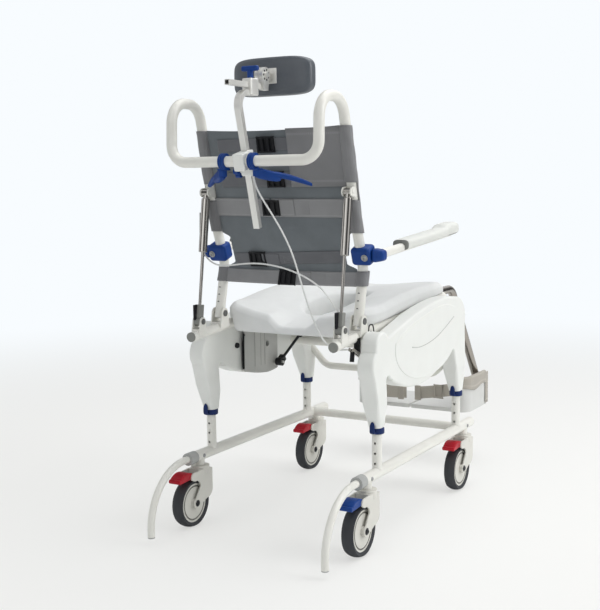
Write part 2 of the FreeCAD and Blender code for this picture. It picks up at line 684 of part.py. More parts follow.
def seat_section(y, half, edge, middle, floor):
    """One cross-section: crowned top, rounded sides, a step over the frame tubes."""
    shelf = seat_tube_z(y) + SEAT_TUBE_R + GAP
    well = min(SEAT_WELL, half - 8)
    top = []
    for t in (-1, -0.86, -0.6, -0.3, 0, 0.3, 0.6, 0.86, 1):
        blend = min(1.0, abs(t) / 0.86)
        rise = blend * blend * (3 - 2 * blend)
        z = lerp(middle, edge, rise) if abs(t) < 1 else edge - 14
        top.append(V(t * half, y, z))
    crown = Part.BSplineCurve()
    crown.interpolate(top)
    side = [top[-1], V(half, y, shelf), V(well, y, shelf), V(well, y, floor), V(-well, y, floor),
            V(-well, y, shelf), V(-half, y, shelf), top[0]]
    edges = [crown.toShape()] + [Part.LineSegment(a, b).toShape() for a, b in zip(side, side[1:])]
    return Part.Wire(edges)


def seat():
    stations = [(SEAT_FRONT, 178, 582, 572, 545), (SEAT_FRONT + 16, 196, 590, 578, 534),
                (-120, 211, 596, 580, 524), (0, 213, 592, 560, 516), (120, 213, 584, 544, 508),
                (220, 213, 570, 526, 500), (SEAT_BACK - 22, 204, 568, 514, 494), (SEAT_BACK, 190, 560, 510, 492)]
    solid = Part.makeLoft([seat_section(*s) for s in stations], True, True)
    ring = APERTURE_W / 2
    run = APERTURE_LENGTH / 2 - ring
    hole = fuse(box(-ring, ring, APERTURE_Y - run, APERTURE_Y + run, 400, 700),
                *[cylinder(V(0, APERTURE_Y + s * run, 400), V(0, APERTURE_Y + s * run, 700), ring)
                  for s in (1, -1)])
    solid = solid.cut(hole).cut(front_tube_line(FRONT_TUBE_R + GAP))
    sleeve, arm, _, _ = hanger_sleeve()
    return solid.cut(arm).cut(mirrored(arm))


def cord(points, radius):
    """Cable through its points: straight runs with the widest arcs that fit between them."""
    spots = [V(*p) for p in points]
    bends = []
    for before, corner, after in zip(spots, spots[1:], spots[2:]):
        shorter = min((corner - before).Length, (after - corner).Length)
        half_turn = (corner - before).getAngle(after - corner) / 2
        bends.append(0.45 * shorter / math.tan(half_turn))
    print("cable bends from %.0f mm, length about %.0f mm" %
          (min(bends), sum((b - a).Length for a, b in zip(spots, spots[1:]))))
    return pipe(spots, bends, radius)


def cable_adjusters():
    """Two chromed cable ends with rubber boots, their bracket and a black cable loop."""
    pieces = []
    middle_y = (ADJUSTER_REAR[0] + ADJUSTER_LOW[0]) / 2
    middle_z = (ADJUSTER_REAR[1] + ADJUSTER_LOW[1]) / 2
    half = ADJUSTER_PITCH / 2
    bracket = box(ADJUSTER_X - half, ADJUSTER_X + half, middle_y - 8, middle_y + 8, middle_z, seat_tube_z(middle_y))
    bracket = bracket.cut(mirrored(seat_side_line(SEAT_TUBE_R)))
    for side in (1, -1):
        x = ADJUSTER_X + side * half
        body = cylinder(V(x, *ADJUSTER_REAR), V(x, *ADJUSTER_LOW), ADJUSTER_R)
        bracket = bracket.cut(body)
        boot_y = middle_y + side * 15
        boot_z = lerp(ADJUSTER_REAR[1], ADJUSTER_LOW[1], 0.5 - side * 15 / (ADJUSTER_REAR[0] - ADJUSTER_LOW[0]))
        boot = cylinder(V(x, boot_y, boot_z), V(x, boot_y + 4, boot_z - 24), BOOT_R)
        pieces += [body, boot.cut(body)]
    loop = pipe([V(LOOP_X, 316, 512), V(LOOP_X, 312, 532), V(LOOP_X, 292, 530), V(LOOP_X, 285, 510),
                 V(LOOP_X, 298, 500)], [8.0, 8.0, 7.0], LOOP_R)
    stud = rod_x(LOOP_X + LOOP_R, -SEAT_X - SEAT_TUBE_R + 3, 298, seat_tube_z(298), 4)
    stud = stud.cut(mirrored(seat_side_line(SEAT_TUBE_R)))
    return pieces + [bracket, loop, stud]


def build_seat_frame():
    export("seat_frame", seat_frame())
    bolts = [pivot_bolt(PIVOT_Y, PIVOT_Z, BACK_EAR_IN, PIVOT_BOLT_R),
             pivot_bolt(SPRING_LOW_Y, SPRING_LOW_Z, SPRING_EAR_IN, PIN_R)]
    export("frame_fittings", *([b for one in bolts for b in pair(one)] + pair(end_cap())))
    block = tilt_housing()
    export("tilt_housings", fuse(block, tilt_eye_pin()), mirrored(block))
    export("seat", seat())
    export("cable_adjusters", *cable_adjusters())


# Backrest frame

def back_points():
    lean = (V(0, *BEND_LOW) - V(0, PIVOT_Y, PIVOT_Z)).normalize()
    start = V(BACK_X, PIVOT_Y, PIVOT_Z) - lean * BACK_R
    return [start, V(BACK_X, *BEND_LOW), V(BACK_X, *BEND_HIGH), V(BACK_X, LOOP_FRONT, LOOP_TOP),
            V(BACK_X, LOOP_REAR, LOOP_TOP), V(BACK_X, BAR_Y, BAR_Z), V(BAR_HALF, BAR_Y, BAR_Z)]


BACK_BENDS = [80.0, 120.0, LOOP_BEND, LOOP_BEND, BAR_BEND]


def back_run(z):
    """The two ends of the upright's straight run at a height."""
    marks = [(PIVOT_Y, PIVOT_Z), BEND_LOW, BEND_HIGH, (LOOP_FRONT, LOOP_TOP)]
    return next((low, high) for low, high in zip(marks, marks[1:]) if z <= high[1])


def back_y(z):
    low, high = back_run(z)
    return lerp(low[0], high[0], (z - low[1]) / (high[1] - low[1]))


def back_lean(z):
    """Degrees that the upright leans back at a height."""
    low, high = back_run(z)
    return math.degrees(math.atan2(high[0] - low[0], high[1] - low[1]))


def back_tube():
    solid = pipe(back_points(), BACK_BENDS, BACK_R)
    inner = SPRING_EAR_IN
    y = back_y(SPRING_TOP_Z)
    wire = outline(BACK_X + inner, (y, SPRING_TOP_Z - 13), [(SPRING_TOP_Y, SPRING_TOP_Z - 11)],
                   [(SPRING_TOP_Y + 11, SPRING_TOP_Z), (SPRING_TOP_Y, SPRING_TOP_Z + 11)], [(y, SPRING_TOP_Z + 13)])
    plate = slab(wire, EAR_T)
    other = plate.translated(V(-2 * inner - EAR_T, 0, 0))
    half = inner + EAR_T + 1.5
    pin = rod_x(BACK_X - half, BACK_X + half, SPRING_TOP_Y, SPRING_TOP_Z, PIN_R)
    solid = fuse(solid, plate, other, pin)
    solid = solid.cut(pipe(back_points(), BACK_BENDS, BACK_R - WALL))
    bolt = rod_x(BACK_X - BACK_R, BACK_X + BACK_R, PIVOT_Y, PIVOT_Z, PIVOT_BOLT_R + FIT)
    return solid.cut(bolt)


def push_bar():
    return rod_x(-BAR_HALF, BAR_HALF, BAR_Y, BAR_Z, BACK_R).cut(
        rod_x(-BAR_HALF, BAR_HALF, BAR_Y, BAR_Z, BACK_R - WALL))


SLING_HALF = BACK_X - BACK_R


def sling_y(x, z):
    """Front face of the sling: it bows back between the uprights."""
    return back_y(z) + SLING_SAG * (1 - (x / SLING_HALF) ** 2)


def sling_band(heights, half, offset):
    """Part of the bowed sheet through these heights, behind its front face by offset."""
    wires = []
    for z in heights:
        steps = [half * t for t in (-1, -0.5, 0, 0.5, 1)]
        front, back = Part.BSplineCurve(), Part.BSplineCurve()
        near = [V(x, sling_y(x, z) + offset, z) for x in steps]
        far = [point + V(0, SLING_T, 0) for point in reversed(near)]
        front.interpolate(near)
        back.interpolate(far)
        wires.append(Part.Wire([front.toShape(), Part.LineSegment(near[-1], far[0]).toShape(), back.toShape(),
                                Part.LineSegment(far[-1], near[0]).toShape()]))
    return Part.makeLoft(wires, True, True)


def across(low, high):
    """Everything between two heights."""
    return box(-300, 300, 0, 700, low, high)


def sling():
    """Web between the uprights, and the hems that go round them."""
    web = sling_band((SLING_LOW, BEND_LOW[1], BEND_HIGH[1], SLING_TOP), SLING_HALF - SLING_T - 2 * GAP, 0)
    waist = box(SLING_HALF - SLING_NECK, BACK_X, 0, 700, SLING_STRAP_TOP, SLING_SLEEVE_LOW)
    web = web.cut(waist).cut(mirrored(waist))
    y = back_y(SPRING_TOP_Z)
    notch = box(BACK_X - SLING_NOTCH, BACK_X + SLING_NOTCH, y, y + 2 * SLING_NOTCH, SPRING_TOP_Z - SLING_NOTCH,
                SPRING_TOP_Z + SLING_NOTCH)
    ring = pipe(back_points(), BACK_BENDS, BACK_R + GAP + SLING_T).cut(pipe(back_points(), BACK_BENDS, BACK_R + GAP))
    hem = ring.common(across(SLING_SLEEVE_LOW, SLING_TOP)).cut(notch).Solids[0]
    flap = ring.common(across(SLING_LOW, SLING_STRAP_TOP)).Solids[0]
    return [web] + pair(hem) + pair(flap)


def sling_straps():
    half = SLING_HALF - SLING_NECK - 4
    offset = SLING_T + STRAP_GAP
    return [sling_band((z - STRAP_H / 2, z + STRAP_H / 2), half, offset) for z in STRAP_ZS]


def strap_buckles():
    pieces = []
    width, depth, height = BUCKLE
    for z, x in zip(STRAP_ZS, BUCKLE_XS):
        y = sling_y(x, z) + 2 * SLING_T + 2 * STRAP_GAP
        block = rounded_box(x - width / 2, x + width / 2, y, y + depth, z - height / 2, z + height / 2, 2)
        pieces.append(turned(block, y, z, -back_lean(z)))
    return pieces


def arm_clamp():
    """Clamp round the upright with a pivot pin for the armrest."""
    y = back_y(ARM_Z)
    out = ARM_X - ARM_R - GAP
    block = rounded_box(BACK_X - BACK_R - 7, out, y - CLAMP_D / 2, y + CLAMP_D / 2, ARM_Z - CLAMP_H / 2,
                        ARM_Z + CLAMP_H / 2, 9)
    block = turned(block, y, ARM_Z, -back_lean(ARM_Z)).cut(pipe(back_points(), BACK_BENDS, BACK_R))
    pin = rod_x(BACK_X + BACK_R + 1, ARM_X + ARM_R, ARM_Y, ARM_Z, ARM_PIN_R)
    return fuse(block, pin)


def bar_frame(shape):
    """Turn something drawn upright about the push bar to the stem's lean."""
    return turned(shape, BAR_Y, BAR_Z, -STEM_LEAN_DEG)


STEM_OFFSET = BACK_R + 1 + STEM_D / 2


def headrest_clamp():
    width = STEM_W / 2 + 7
    back = BAR_Y + BACK_R + 6
    front = BAR_Y - STEM_OFFSET - STEM_D / 2 - 6
    block = rounded_box(-width, width, front, back, BAR_Z - 20, BAR_Z + 20, 4)
    foot = rounded_box(-width, width, front, BAR_Y - STEM_OFFSET + STEM_D / 2 + 5, BAR_Z - KNOB_DROP - 12,
                       BAR_Z, 4)
    block = fuse(block, foot)
    y = BAR_Y - STEM_OFFSET
    channel = box(-STEM_W / 2 - SLIDE_GAP, STEM_W / 2 + SLIDE_GAP, y - STEM_D / 2 - SLIDE_GAP,
                  y + STEM_D / 2 + SLIDE_GAP, BAR_Z - 60, BAR_Z + 60)
    nut = rod_x(width - 6, width + 3, BAR_Y - STEM_OFFSET, BAR_Z - KNOB_DROP, 8)
    bore = rod_x(STEM_W / 2, width + 3, BAR_Y - STEM_OFFSET, BAR_Z - KNOB_DROP, KNOB_SCREW_R + FIT)
    block = fuse(block, nut).cut(channel).cut(bore)
    return bar_frame(block).cut(rod_x(-60, 60, BAR_Y, BAR_Z, BACK_R))


def star_knob():
    """Five-lobed clamp knob with its screw."""
    width = STEM_W / 2 + 7 + 3
    y = BAR_Y - STEM_OFFSET
    z = BAR_Z - KNOB_DROP
    core = rod_x(width, width + 15, y, z, 12)
    lobes = []
    for n in range(5):
        a = math.radians(72 * n)
        lobes.append(rod_x(width + 2, width + 14, y + 11 * math.cos(a), z + 11 * math.sin(a), 6))
    screw = rod_x(STEM_W / 2 + SLIDE_GAP + 0.2, width, y, z, KNOB_SCREW_R)
    return bar_frame(fuse(core, screw, *lobes))


def lever_clamp(x):
    """Ring on the push bar with a fork below it that carries the lever."""
    ring = rod_x(x, x + LEVER_CLAMP_W, BAR_Y, BAR_Z, LEVER_CLAMP_R)
    web = rounded_box(x, x + LEVER_CLAMP_W, BAR_Y - 12, BAR_Y + 8, LEVER_Z + 9, BAR_Z - 6, 2)
    upper = box(x, x + LEVER_CLAMP_W + 8, BAR_Y - 14, BAR_Y + 6, LEVER_Z + 7, LEVER_Z + 11)
    pin = cylinder(V(x + LEVER_CLAMP_W, BAR_Y - 4, LEVER_Z - 8), V(x + LEVER_CLAMP_W, BAR_Y - 4, LEVER_Z + 8),
                   LEVER_PIN_R)
    head = cylinder(V(x + LEVER_CLAMP_W, BAR_Y - 4, LEVER_Z - 10), V(x + LEVER_CLAMP_W, BAR_Y - 4, LEVER_Z - 7.6),
                    LEVER_PIN_R + 2.5)
    return fuse(ring, web, upper, pin, head).cut(rod_x(0, 100, BAR_Y, BAR_Z, BACK_R))


def hand_lever(x, end):
    """Blade that reaches out and forward below the push bar, from the clamp at x to its end."""
    pivot = V(x + LEVER_CLAMP_W, BAR_Y - 4, LEVER_Z)
    tip = V(*end)
    hub = cylinder(pivot - Z_AXIS * 7.2, pivot + Z_AXIS * 6.6, 10)
    wires = []
    for t, high, thick in ((0.0, 13, 16), (0.3, 14, 17), (0.6, 13, 15), (0.85, 11, 13), (1.0, 7, 10)):
        middle = pivot + (tip - pivot) * t + Z_AXIS * (6 * math.sin(math.pi * t))
        along = V(tip.x - pivot.x, tip.y - pivot.y, 0).normalize()
        ring = Part.Ellipse(ORIGIN, thick / 2 + 0.5, high / 2).toShape() if thick > high else \
            Part.Ellipse(ORIGIN, high / 2, thick / 2).toShape()
        wire = Part.Wire(ring)
        if thick <= high:
            wire.rotate(ORIGIN, Z_AXIS, 90)
        wire.rotate(ORIGIN, X_AXIS, 90)
        wire.rotate(ORIGIN, Z_AXIS, math.degrees(math.atan2(along.y, along.x)) + 90)
        wires.append(wire.translated(middle))
    blade = Part.makeLoft(wires, True, False)
    bore = cylinder(pivot - Z_AXIS * 20, pivot + Z_AXIS * 20, LEVER_PIN_R + FIT)
    return fuse(hub, blade).cut(bore)


def build_back():
    upright = back_tube()
    export("left_back_tube", upright)
    export("right_back_tube", mirrored(upright))
    export("push_bar", push_bar())
    export("back_sling", *sling())
    export("sling_straps", *(sling_straps() + strap_buckles()))
    export("arm_clamps", *pair(arm_clamp()))
    export("headrest_clamp", headrest_clamp())
    export("clamp_knob", star_knob())
    export("lever_clamps", lever_clamp(LEFT_LEVER_X), mirrored(lever_clamp(RIGHT_LEVER_X)))
    export("release_cables", cord(LEVER_CABLE, CABLE_R), cord(LINK_CABLE, CABLE_R))
    export("left_lever", hand_lever(LEFT_LEVER_X, LEFT_LEVER_TIP))
    export("right_lever", mirrored(hand_lever(RIGHT_LEVER_X, RIGHT_LEVER_TIP)))


# Recline springs and the tilt spring

def strut_frame(top, low):
    """Placement that takes a strut drawn down -Z from the origin to its two pivots."""
    return FreeCAD.Placement(top, FreeCAD.Rotation(V(0, 0, -1), low - top))


def barrel(radius, length, eye_gap):
    eye = rod_x(-EYE_W / 2, EYE_W / 2, 0, 0, eye_gap + EYE_WALL + 1)
    neck = cylinder(V(0, 0, 0), V(0, 0, -SPRING_EYE - 2), EYE_W / 2 - 2)
    body = cylinder(V(0, 0, -SPRING_EYE), V(0, 0, -length), radius)
    body = body.makeFillet(2, [e for e in body.Edges if e.Length > radius])
    bore = cylinder(V(0, 0, -SPRING_EYE - 6), V(0, 0, -length), ROD_R + FIT)
    return fuse(eye, neck, body).cut(bore).cut(rod_x(-EYE_W, EYE_W, 0, 0, eye_gap))


def piston(start, length, head):
    """Rod with its release head and an eye with room for the pin's small side travel."""
    shaft = cylinder(V(0, 0, -start), V(0, 0, -length + OPEN_EYE_R + 1), ROD_R)
    eye = rod_x(-EYE_W / 2, EYE_W / 2, 0, -length, OPEN_EYE_R + EYE_WALL)
    block = rounded_box(-EYE_W / 2 + 1, EYE_W / 2 - 1, -8, 9, -length + OPEN_EYE_R + 1, -length + head, 1.5)
    return fuse(shaft, eye, block).cut(rod_x(-EYE_W, EYE_W, 0, -length, OPEN_EYE_R))


def build_springs():
    top = V(BACK_X, SPRING_TOP_Y, SPRING_TOP_Z)
    low = V(BACK_X, SPRING_LOW_Y, SPRING_LOW_Z)
    place = strut_frame(top, low)
    length = (low - top).Length
    upper = barrel(SPRING_R, SPRING_BARREL, PIN_R + FIT)
    lower = piston(84, length, 42)
    for shape, name in ((upper, "recline_cylinder"), (lower, "recline_rod")):
        shape.Placement = place
        export("left_" + name, shape)
        export("right_" + name, mirrored(shape))
    fixed = V(TILT_SPRING_X, TILT_FIX_Y, TILT_FIX_Z)
    pushed = V(TILT_SPRING_X, TILT_EYE_Y, TILT_EYE_Z)
    place = strut_frame(fixed, pushed)
    upper = barrel(TILT_BARREL_R, TILT_BARREL, PIN_R + FIT)
    lower = piston(66, (pushed - fixed).Length, 22)
    for shape, name in ((upper, "tilt_cylinder"), (lower, "tilt_rod")):
        shape.Placement = place
        export(name, shape)


# Armrests

def arm_line(y):
    return ARM_Z + (ARM_Y - y) * math.tan(math.radians(ARM_RISE_DEG))


def arm_tube():
    front = V(ARM_X, ARM_FRONT, arm_line(ARM_FRONT))
    solid = cylinder(V(ARM_X, ARM_Y, ARM_Z), front, ARM_R)
    hub = rod_x(ARM_X - ARM_R, ARM_X + ARM_R, ARM_Y, ARM_Z, ARM_PIN_R + 7)
    solid = fuse(solid, hub)
    start = V(ARM_X, ARM_Y - ARM_PIN_R - 8, arm_line(ARM_Y - ARM_PIN_R - 8))
    solid = solid.cut(cylinder(start, front, ARM_R - WALL))
    return solid.cut(rod_x(ARM_X - ARM_R, ARM_X + ARM_R, ARM_Y, ARM_Z, ARM_PIN_R + FIT))


def arm_pad():
    """Moulded pad round the tube, raised and rounded at the front."""
    half = PAD_W / 2
    stations = [(PAD_REAR, 17, 0.86), (PAD_REAR - 26, 19, 0.96), (60, 20, 1.0), (PAD_FRONT + 81, 21, 1.0),
                (PAD_FRONT + 31, 29, 0.98), (PAD_FRONT + 10, 27, 0.86), (PAD_FRONT, 19, 0.66)]
    wires = []
    for y, crown, share in stations:
        z = arm_line(y)
        w = half * share
        low = z - PAD_DROP * share
        points = [V(ARM_X - w, y, z + crown * 0.45), V(ARM_X, y, z + crown), V(ARM_X + w, y, z + crown * 0.45)]
        under = [V(ARM_X + w, y, z + crown * 0.45), V(ARM_X, y, low), V(ARM_X - w, y, z + crown * 0.45)]
        wires.append(Part.Wire([Part.Arc(*points).toShape(), Part.Arc(*under).toShape()]))
    solid = Part.makeLoft(wires, True, False)
    front = V(ARM_X, ARM_FRONT - GAP, arm_line(ARM_FRONT - GAP))
    return solid.cut(cylinder(V(ARM_X, ARM_Y, ARM_Z), front, ARM_R + FIT))


def build_arms():
    frame = arm_tube()
    pad = arm_pad()
    export("left_arm_tube", frame)
    export("right_arm_tube", mirrored(frame))
    export("left_arm_pad", pad)
    export("right_arm_pad", mirrored(pad))


# Headrest

def stem_y(z):
    offset = STEM_OFFSET / math.cos(math.radians(STEM_LEAN_DEG))
    return BAR_Y - offset + (z - BAR_Z) * math.tan(math.radians(STEM_LEAN_DEG))


def headrest_stem():
    """Oval tube that bends forward into the block for the headrest arm."""
    points = [V(0, stem_y(STEM_LOW_Z), STEM_LOW_Z), V(0, stem_y(STEM_TOP_Z), STEM_TOP_Z),
              V(0, HEAD_BLOCK_Y, STEM_TOP_Z)]
    along = (points[1] - points[0]).normalize()
    across = V(0, -along.z, along.y)
    corners = [points[0] + X_AXIS * (sx * STEM_W / 2) + across * (sy * STEM_D / 2)
               for sx, sy in ((1, 1), (-1, 1), (-1, -1), (1, -1))]
    ring = Part.makePolygon(corners + corners[:1])
    solid = route(points, [STEM_BEND]).makePipeShell([ring], True, False)
    block = rounded_box(-13, 13, HEAD_BLOCK_Y - 16, HEAD_BLOCK_Y + 16, STEM_TOP_Z - STEM_D / 2,
                        HEAD_ARM_Z + HEAD_ARM / 2 + 9, 3)
    half = HEAD_ARM / 2 + SLIDE_GAP
    channel = box(-half, half, HEAD_BLOCK_Y - 40, HEAD_BLOCK_Y + 40, HEAD_ARM_Z - half, HEAD_ARM_Z + half)
    screw = cylinder(V(0, HEAD_BLOCK_Y, HEAD_ARM_Z), V(0, HEAD_BLOCK_Y, HEAD_ARM_Z + 40), 3 + FIT)
    return fuse(solid, block).cut(channel).cut(screw)


def t_knob():
    top = HEAD_ARM_Z + HEAD_ARM / 2 + 9
    screw = cylinder(V(0, HEAD_BLOCK_Y, HEAD_ARM_Z + HEAD_ARM / 2 + SLIDE_GAP + 0.2), V(0, HEAD_BLOCK_Y, top + 4), 3)
    hub = cylinder(V(0, HEAD_BLOCK_Y, top + 1), V(0, HEAD_BLOCK_Y, top + 18), 7)
    bar = rounded_box(-22, 22, HEAD_BLOCK_Y - 6, HEAD_BLOCK_Y + 6, top + 16, top + 28, 4)
    return fuse(screw, hub, bar)


def headrest_arm():
    """Square tube with the angle joint's fixed disc on its front end."""
    half = HEAD_ARM / 2
    bar = box(-half, half, HEAD_JOINT_Y, HEAD_ARM_REAR, HEAD_ARM_Z - half, HEAD_ARM_Z + half)
    hollow = box(-half + 1.5, half - 1.5, HEAD_JOINT_Y + 10, HEAD_ARM_REAR, HEAD_ARM_Z - half + 1.5,
                 HEAD_ARM_Z + half - 1.5)
    wire = outline(-12, (HEAD_JOINT_Y - 10, HEAD_ARM_Z - half - 3), [(HEAD_JOINT_Y + 12, HEAD_ARM_Z - half - 3)],
                   [(HEAD_JOINT_Y + 14, HEAD_JOINT_Z)],
                   [(HEAD_JOINT_Y, HEAD_JOINT_Z + 14), (HEAD_JOINT_Y - 14, HEAD_JOINT_Z)])
    plate = slab(wire, 12)
    disc = rod_x(-12, 0, HEAD_JOINT_Y, HEAD_JOINT_Z, HEAD_DISC_R)
    teeth = [rod_x(-3, 0, HEAD_JOINT_Y + HEAD_DISC_R * math.cos(math.radians(20 * n)),
                   HEAD_JOINT_Z + HEAD_DISC_R * math.sin(math.radians(20 * n)), 1.2) for n in range(18)]
    solid = fuse(bar.cut(hollow), plate, disc)
    for tooth in teeth:
        solid = solid.cut(tooth)
    return solid.cut(rod_x(-12, 0, HEAD_JOINT_Y, HEAD_JOINT_Z, PIN_R + FIT))


def headrest_joint():
    """Moving disc with its pin and the plate that the pad is fixed to."""
    disc = rod_x(SLIDE_GAP, 9, HEAD_JOINT_Y, HEAD_JOINT_Z, HEAD_DISC_R)
    pin = rod_x(-14, 9, HEAD_JOINT_Y, HEAD_JOINT_Z, PIN_R)
    nut = rod_x(-15.5, -12 - SLIDE_GAP, HEAD_JOINT_Y, HEAD_JOINT_Z, 7)
    arm = box(SLIDE_GAP, 9, HEAD_PAD_BACK, HEAD_JOINT_Y, HEAD_JOINT_Z - 12, HEAD_JOINT_Z + 12)
    plate = rounded_box(-24, 24, HEAD_PAD_BACK, HEAD_PAD_BACK + 4, HEAD_JOINT_Z - 18, HEAD_JOINT_Z + 18, 1.5)
    return fuse(disc, pin, nut, arm, plate)


def headrest_pad():
    """Curved pad with rounded ends, a crown and drawn-in edges."""
    wires = []
    half = HEAD_PAD_H / 2
    for share, inset in ((0.0, 0.72), (0.16, 0.93), (0.5, 1.0), (0.84, 0.95), (1.0, 0.8)):
        y = HEAD_PAD_BACK - HEAD_PAD_T * share
        w = HEAD_PAD_W / 2 * inset
        h = half * inset
        r = h * 0.8
        points = [V(w, y, HEAD_JOINT_Z), V(0, y, HEAD_JOINT_Z + h), V(-w, y, HEAD_JOINT_Z), V(0, y, HEAD_JOINT_Z - h)]
        corner = [V(s * (w - r * 0.3), y, HEAD_JOINT_Z + u * (h - r * 0.3)) for s, u in
                  ((1, 1), (-1, 1), (-1, -1), (1, -1))]
        tops = [V(s * (w - r), y, HEAD_JOINT_Z + u * h) for s, u in ((1, 1), (-1, 1), (-1, -1), (1, -1))]
        ends = [V(s * w, y, HEAD_JOINT_Z + u * (h - r)) for s, u in ((1, 1), (-1, 1), (-1, -1), (1, -1))]
        edges = [Part.Arc(ends[0], corner[0], tops[0]).toShape(), Part.LineSegment(tops[0], tops[1]).toShape(),
                 Part.Arc(tops[1], corner[1], ends[1]).toShape(), Part.LineSegment(ends[1], ends[2]).toShape(),
                 Part.Arc(ends[2], corner[2], tops[2]).toShape(), Part.LineSegment(tops[2], tops[3]).toShape(),
                 Part.Arc(tops[3], corner[3], ends[3]).toShape(), Part.LineSegment(ends[3], ends[0]).toShape()]
        wires.append(Part.Wire(edges))
    return Part.makeLoft(wires, True, True)


def build_headrest():
    export("headrest_stem", headrest_stem())
    export("t_knob", t_knob())
    export("headrest_arm", headrest_arm())
    export("headrest_joint", headrest_joint())
    export("headrest_pad", headrest_pad())


# Foot supports

def hanger():
    """Pin in the sleeve, arch over the seat front, run down and the plate's axle."""
    _, _, _, sleeve_top = hanger_sleeve()
    base = V(HANGER_X, HANGER_Y, sleeve_top + GAP)
    top = base.z + HANGER_RISE
    points = [base, V(HANGER_X, HANGER_Y, top), V(HANGER_X, HANGER_KNEE_Y, top),
              V(HANGER_X, HANGER_TOE_Y, HANGER_TOE_Z), V(HANGER_X, HANGER_HEEL_Y, HANGER_TOE_Z)]
    bends = [min(HANGER_RISE - 1, HANGER_BEND), HANGER_BEND, TOE_BEND]
    pin = cylinder(V(HANGER_X, HANGER_Y, HANGER_LOW), base + Z_AXIS, HANGER_PIN_R)
    return fuse(pipe(points, bends, HANGER_R), pin)


def plan_loop(x1, x2, y1, y2, radius, z):
    """Closed XY outline with round corners at the outer front and rear."""
    k = radius * (1 - math.sqrt(0.5))
    inner_front, inner_rear = V(x1, y1, z), V(x1, y2, z)
    edges = [Part.LineSegment(inner_front, V(x2 - radius, y1, z)).toShape(),
             Part.Arc(V(x2 - radius, y1, z), V(x2 - k, y1 + k, z), V(x2, y1 + radius, z)).toShape(),
             Part.LineSegment(V(x2, y1 + radius, z), V(x2, y2 - radius, z)).toShape(),
             Part.Arc(V(x2, y2 - radius, z), V(x2 - k, y2 - k, z), V(x2 - radius, y2, z)).toShape(),
             Part.LineSegment(V(x2 - radius, y2, z), inner_rear).toShape(),
             Part.LineSegment(inner_rear, inner_front).toShape()]
    return Part.Wire(edges)


def footplate():
    """Tray with a raised outer wall and two hinge lugs."""
    tall = PLATE_WALL_TOP - PLATE_Z
    outer = Part.Face(plan_loop(PLATE_IN, PLATE_OUT, PLATE_FRONT, PLATE_REAR, PLATE_CORNER, PLATE_Z))
    inner = Part.Face(plan_loop(PLATE_IN - 1, PLATE_OUT - PLATE_WALL, PLATE_FRONT + PLATE_WALL,
                                PLATE_REAR - PLATE_WALL, PLATE_CORNER - PLATE_WALL, PLATE_Z + PLATE_T))
    solid = outer.extrude(V(0, 0, tall)).cut(inner.extrude(V(0, 0, tall)))
    inside = PLATE_OUT - PLATE_CORNER - 2
    solid = solid.cut(box(PLATE_IN - 1, inside, PLATE_FRONT - 1, PLATE_REAR + 1, PLATE_Z + PLATE_T, PLATE_WALL_TOP))
    for y1, y2 in ((HANGER_HEEL_Y - 26, HANGER_HEEL_Y - 2), (HANGER_TOE_Y + 92, HANGER_TOE_Y + 116)):
        lug = cylinder(V(HANGER_X, y1, HANGER_TOE_Z), V(HANGER_X, y2, HANGER_TOE_Z), HANGER_R + HINGE_LUG)
        foot = box(HANGER_X - 12, HANGER_X + 12, y1, y2, PLATE_Z + 2, HANGER_TOE_Z)
        solid = fuse(solid, lug, foot)
    bore = cylinder(V(HANGER_X, HANGER_TOE_Y + 60, HANGER_TOE_Z), V(HANGER_X, HANGER_HEEL_Y + 1, HANGER_TOE_Z),
                    HANGER_R + FIT)
    return solid.cut(bore)


def heel_strap():
    """Webbing that bows behind the heel, between the wall and the inner edge."""
    x1, x2 = PLATE_IN + 8, PLATE_OUT - PLATE_CORNER - 6
    middle = (x1 + x2) / 2
    y = PLATE_REAR - 3 * STRAP_T
    front = [V(x1, y, STRAP_LOW), V(middle, y + HEEL_BOW, STRAP_LOW), V(x2, y, STRAP_LOW)]
    back = [p + V(0, STRAP_T, 0) for p in front]
    edges = [Part.Arc(*front).toShape(), Part.LineSegment(front[2], back[2]).toShape(),
             Part.Arc(back[2], back[1], back[0]).toShape(), Part.LineSegment(back[0], front[0]).toShape()]
    band = Part.Face(Part.Wire(edges)).extrude(V(0, 0, STRAP_HIGH - STRAP_LOW))
    foot = PLATE_Z + PLATE_T
    tabs = [box(x, x + 26, y, y + STRAP_T, foot, STRAP_LOW + 20) for x in (x1, x2 - 26)]
    return fuse(band, *tabs)


def build_feet():
    for shape, name in ((hanger(), "footrest_tube"), (footplate(), "footplate"), (heel_strap(), "heel_strap")):
        export("left_" + name, shape)
        export("right_" + name, mirrored(shape))


build_base()
build_castors()
build_upper_frame()
build_seat_frame()
build_back()
build_springs()
build_arms()
build_headrest()
build_feet()
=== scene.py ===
import bmesh
import bpy
import math
import numpy as np
from mathutils import Matrix, Vector


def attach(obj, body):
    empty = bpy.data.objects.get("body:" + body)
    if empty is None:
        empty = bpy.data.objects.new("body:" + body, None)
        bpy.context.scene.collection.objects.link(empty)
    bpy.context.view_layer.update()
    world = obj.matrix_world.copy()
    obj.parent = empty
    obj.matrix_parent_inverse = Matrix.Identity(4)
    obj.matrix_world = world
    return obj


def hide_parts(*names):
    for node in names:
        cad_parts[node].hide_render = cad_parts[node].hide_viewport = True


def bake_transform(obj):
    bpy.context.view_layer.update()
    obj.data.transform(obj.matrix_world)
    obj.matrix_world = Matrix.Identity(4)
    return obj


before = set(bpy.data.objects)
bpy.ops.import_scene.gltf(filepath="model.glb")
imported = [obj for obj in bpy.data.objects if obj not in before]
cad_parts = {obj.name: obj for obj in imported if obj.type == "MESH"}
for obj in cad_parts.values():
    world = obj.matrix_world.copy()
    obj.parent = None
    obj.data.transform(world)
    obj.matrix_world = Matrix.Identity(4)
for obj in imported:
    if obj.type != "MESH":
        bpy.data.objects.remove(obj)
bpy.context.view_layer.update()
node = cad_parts
MM = 0.001

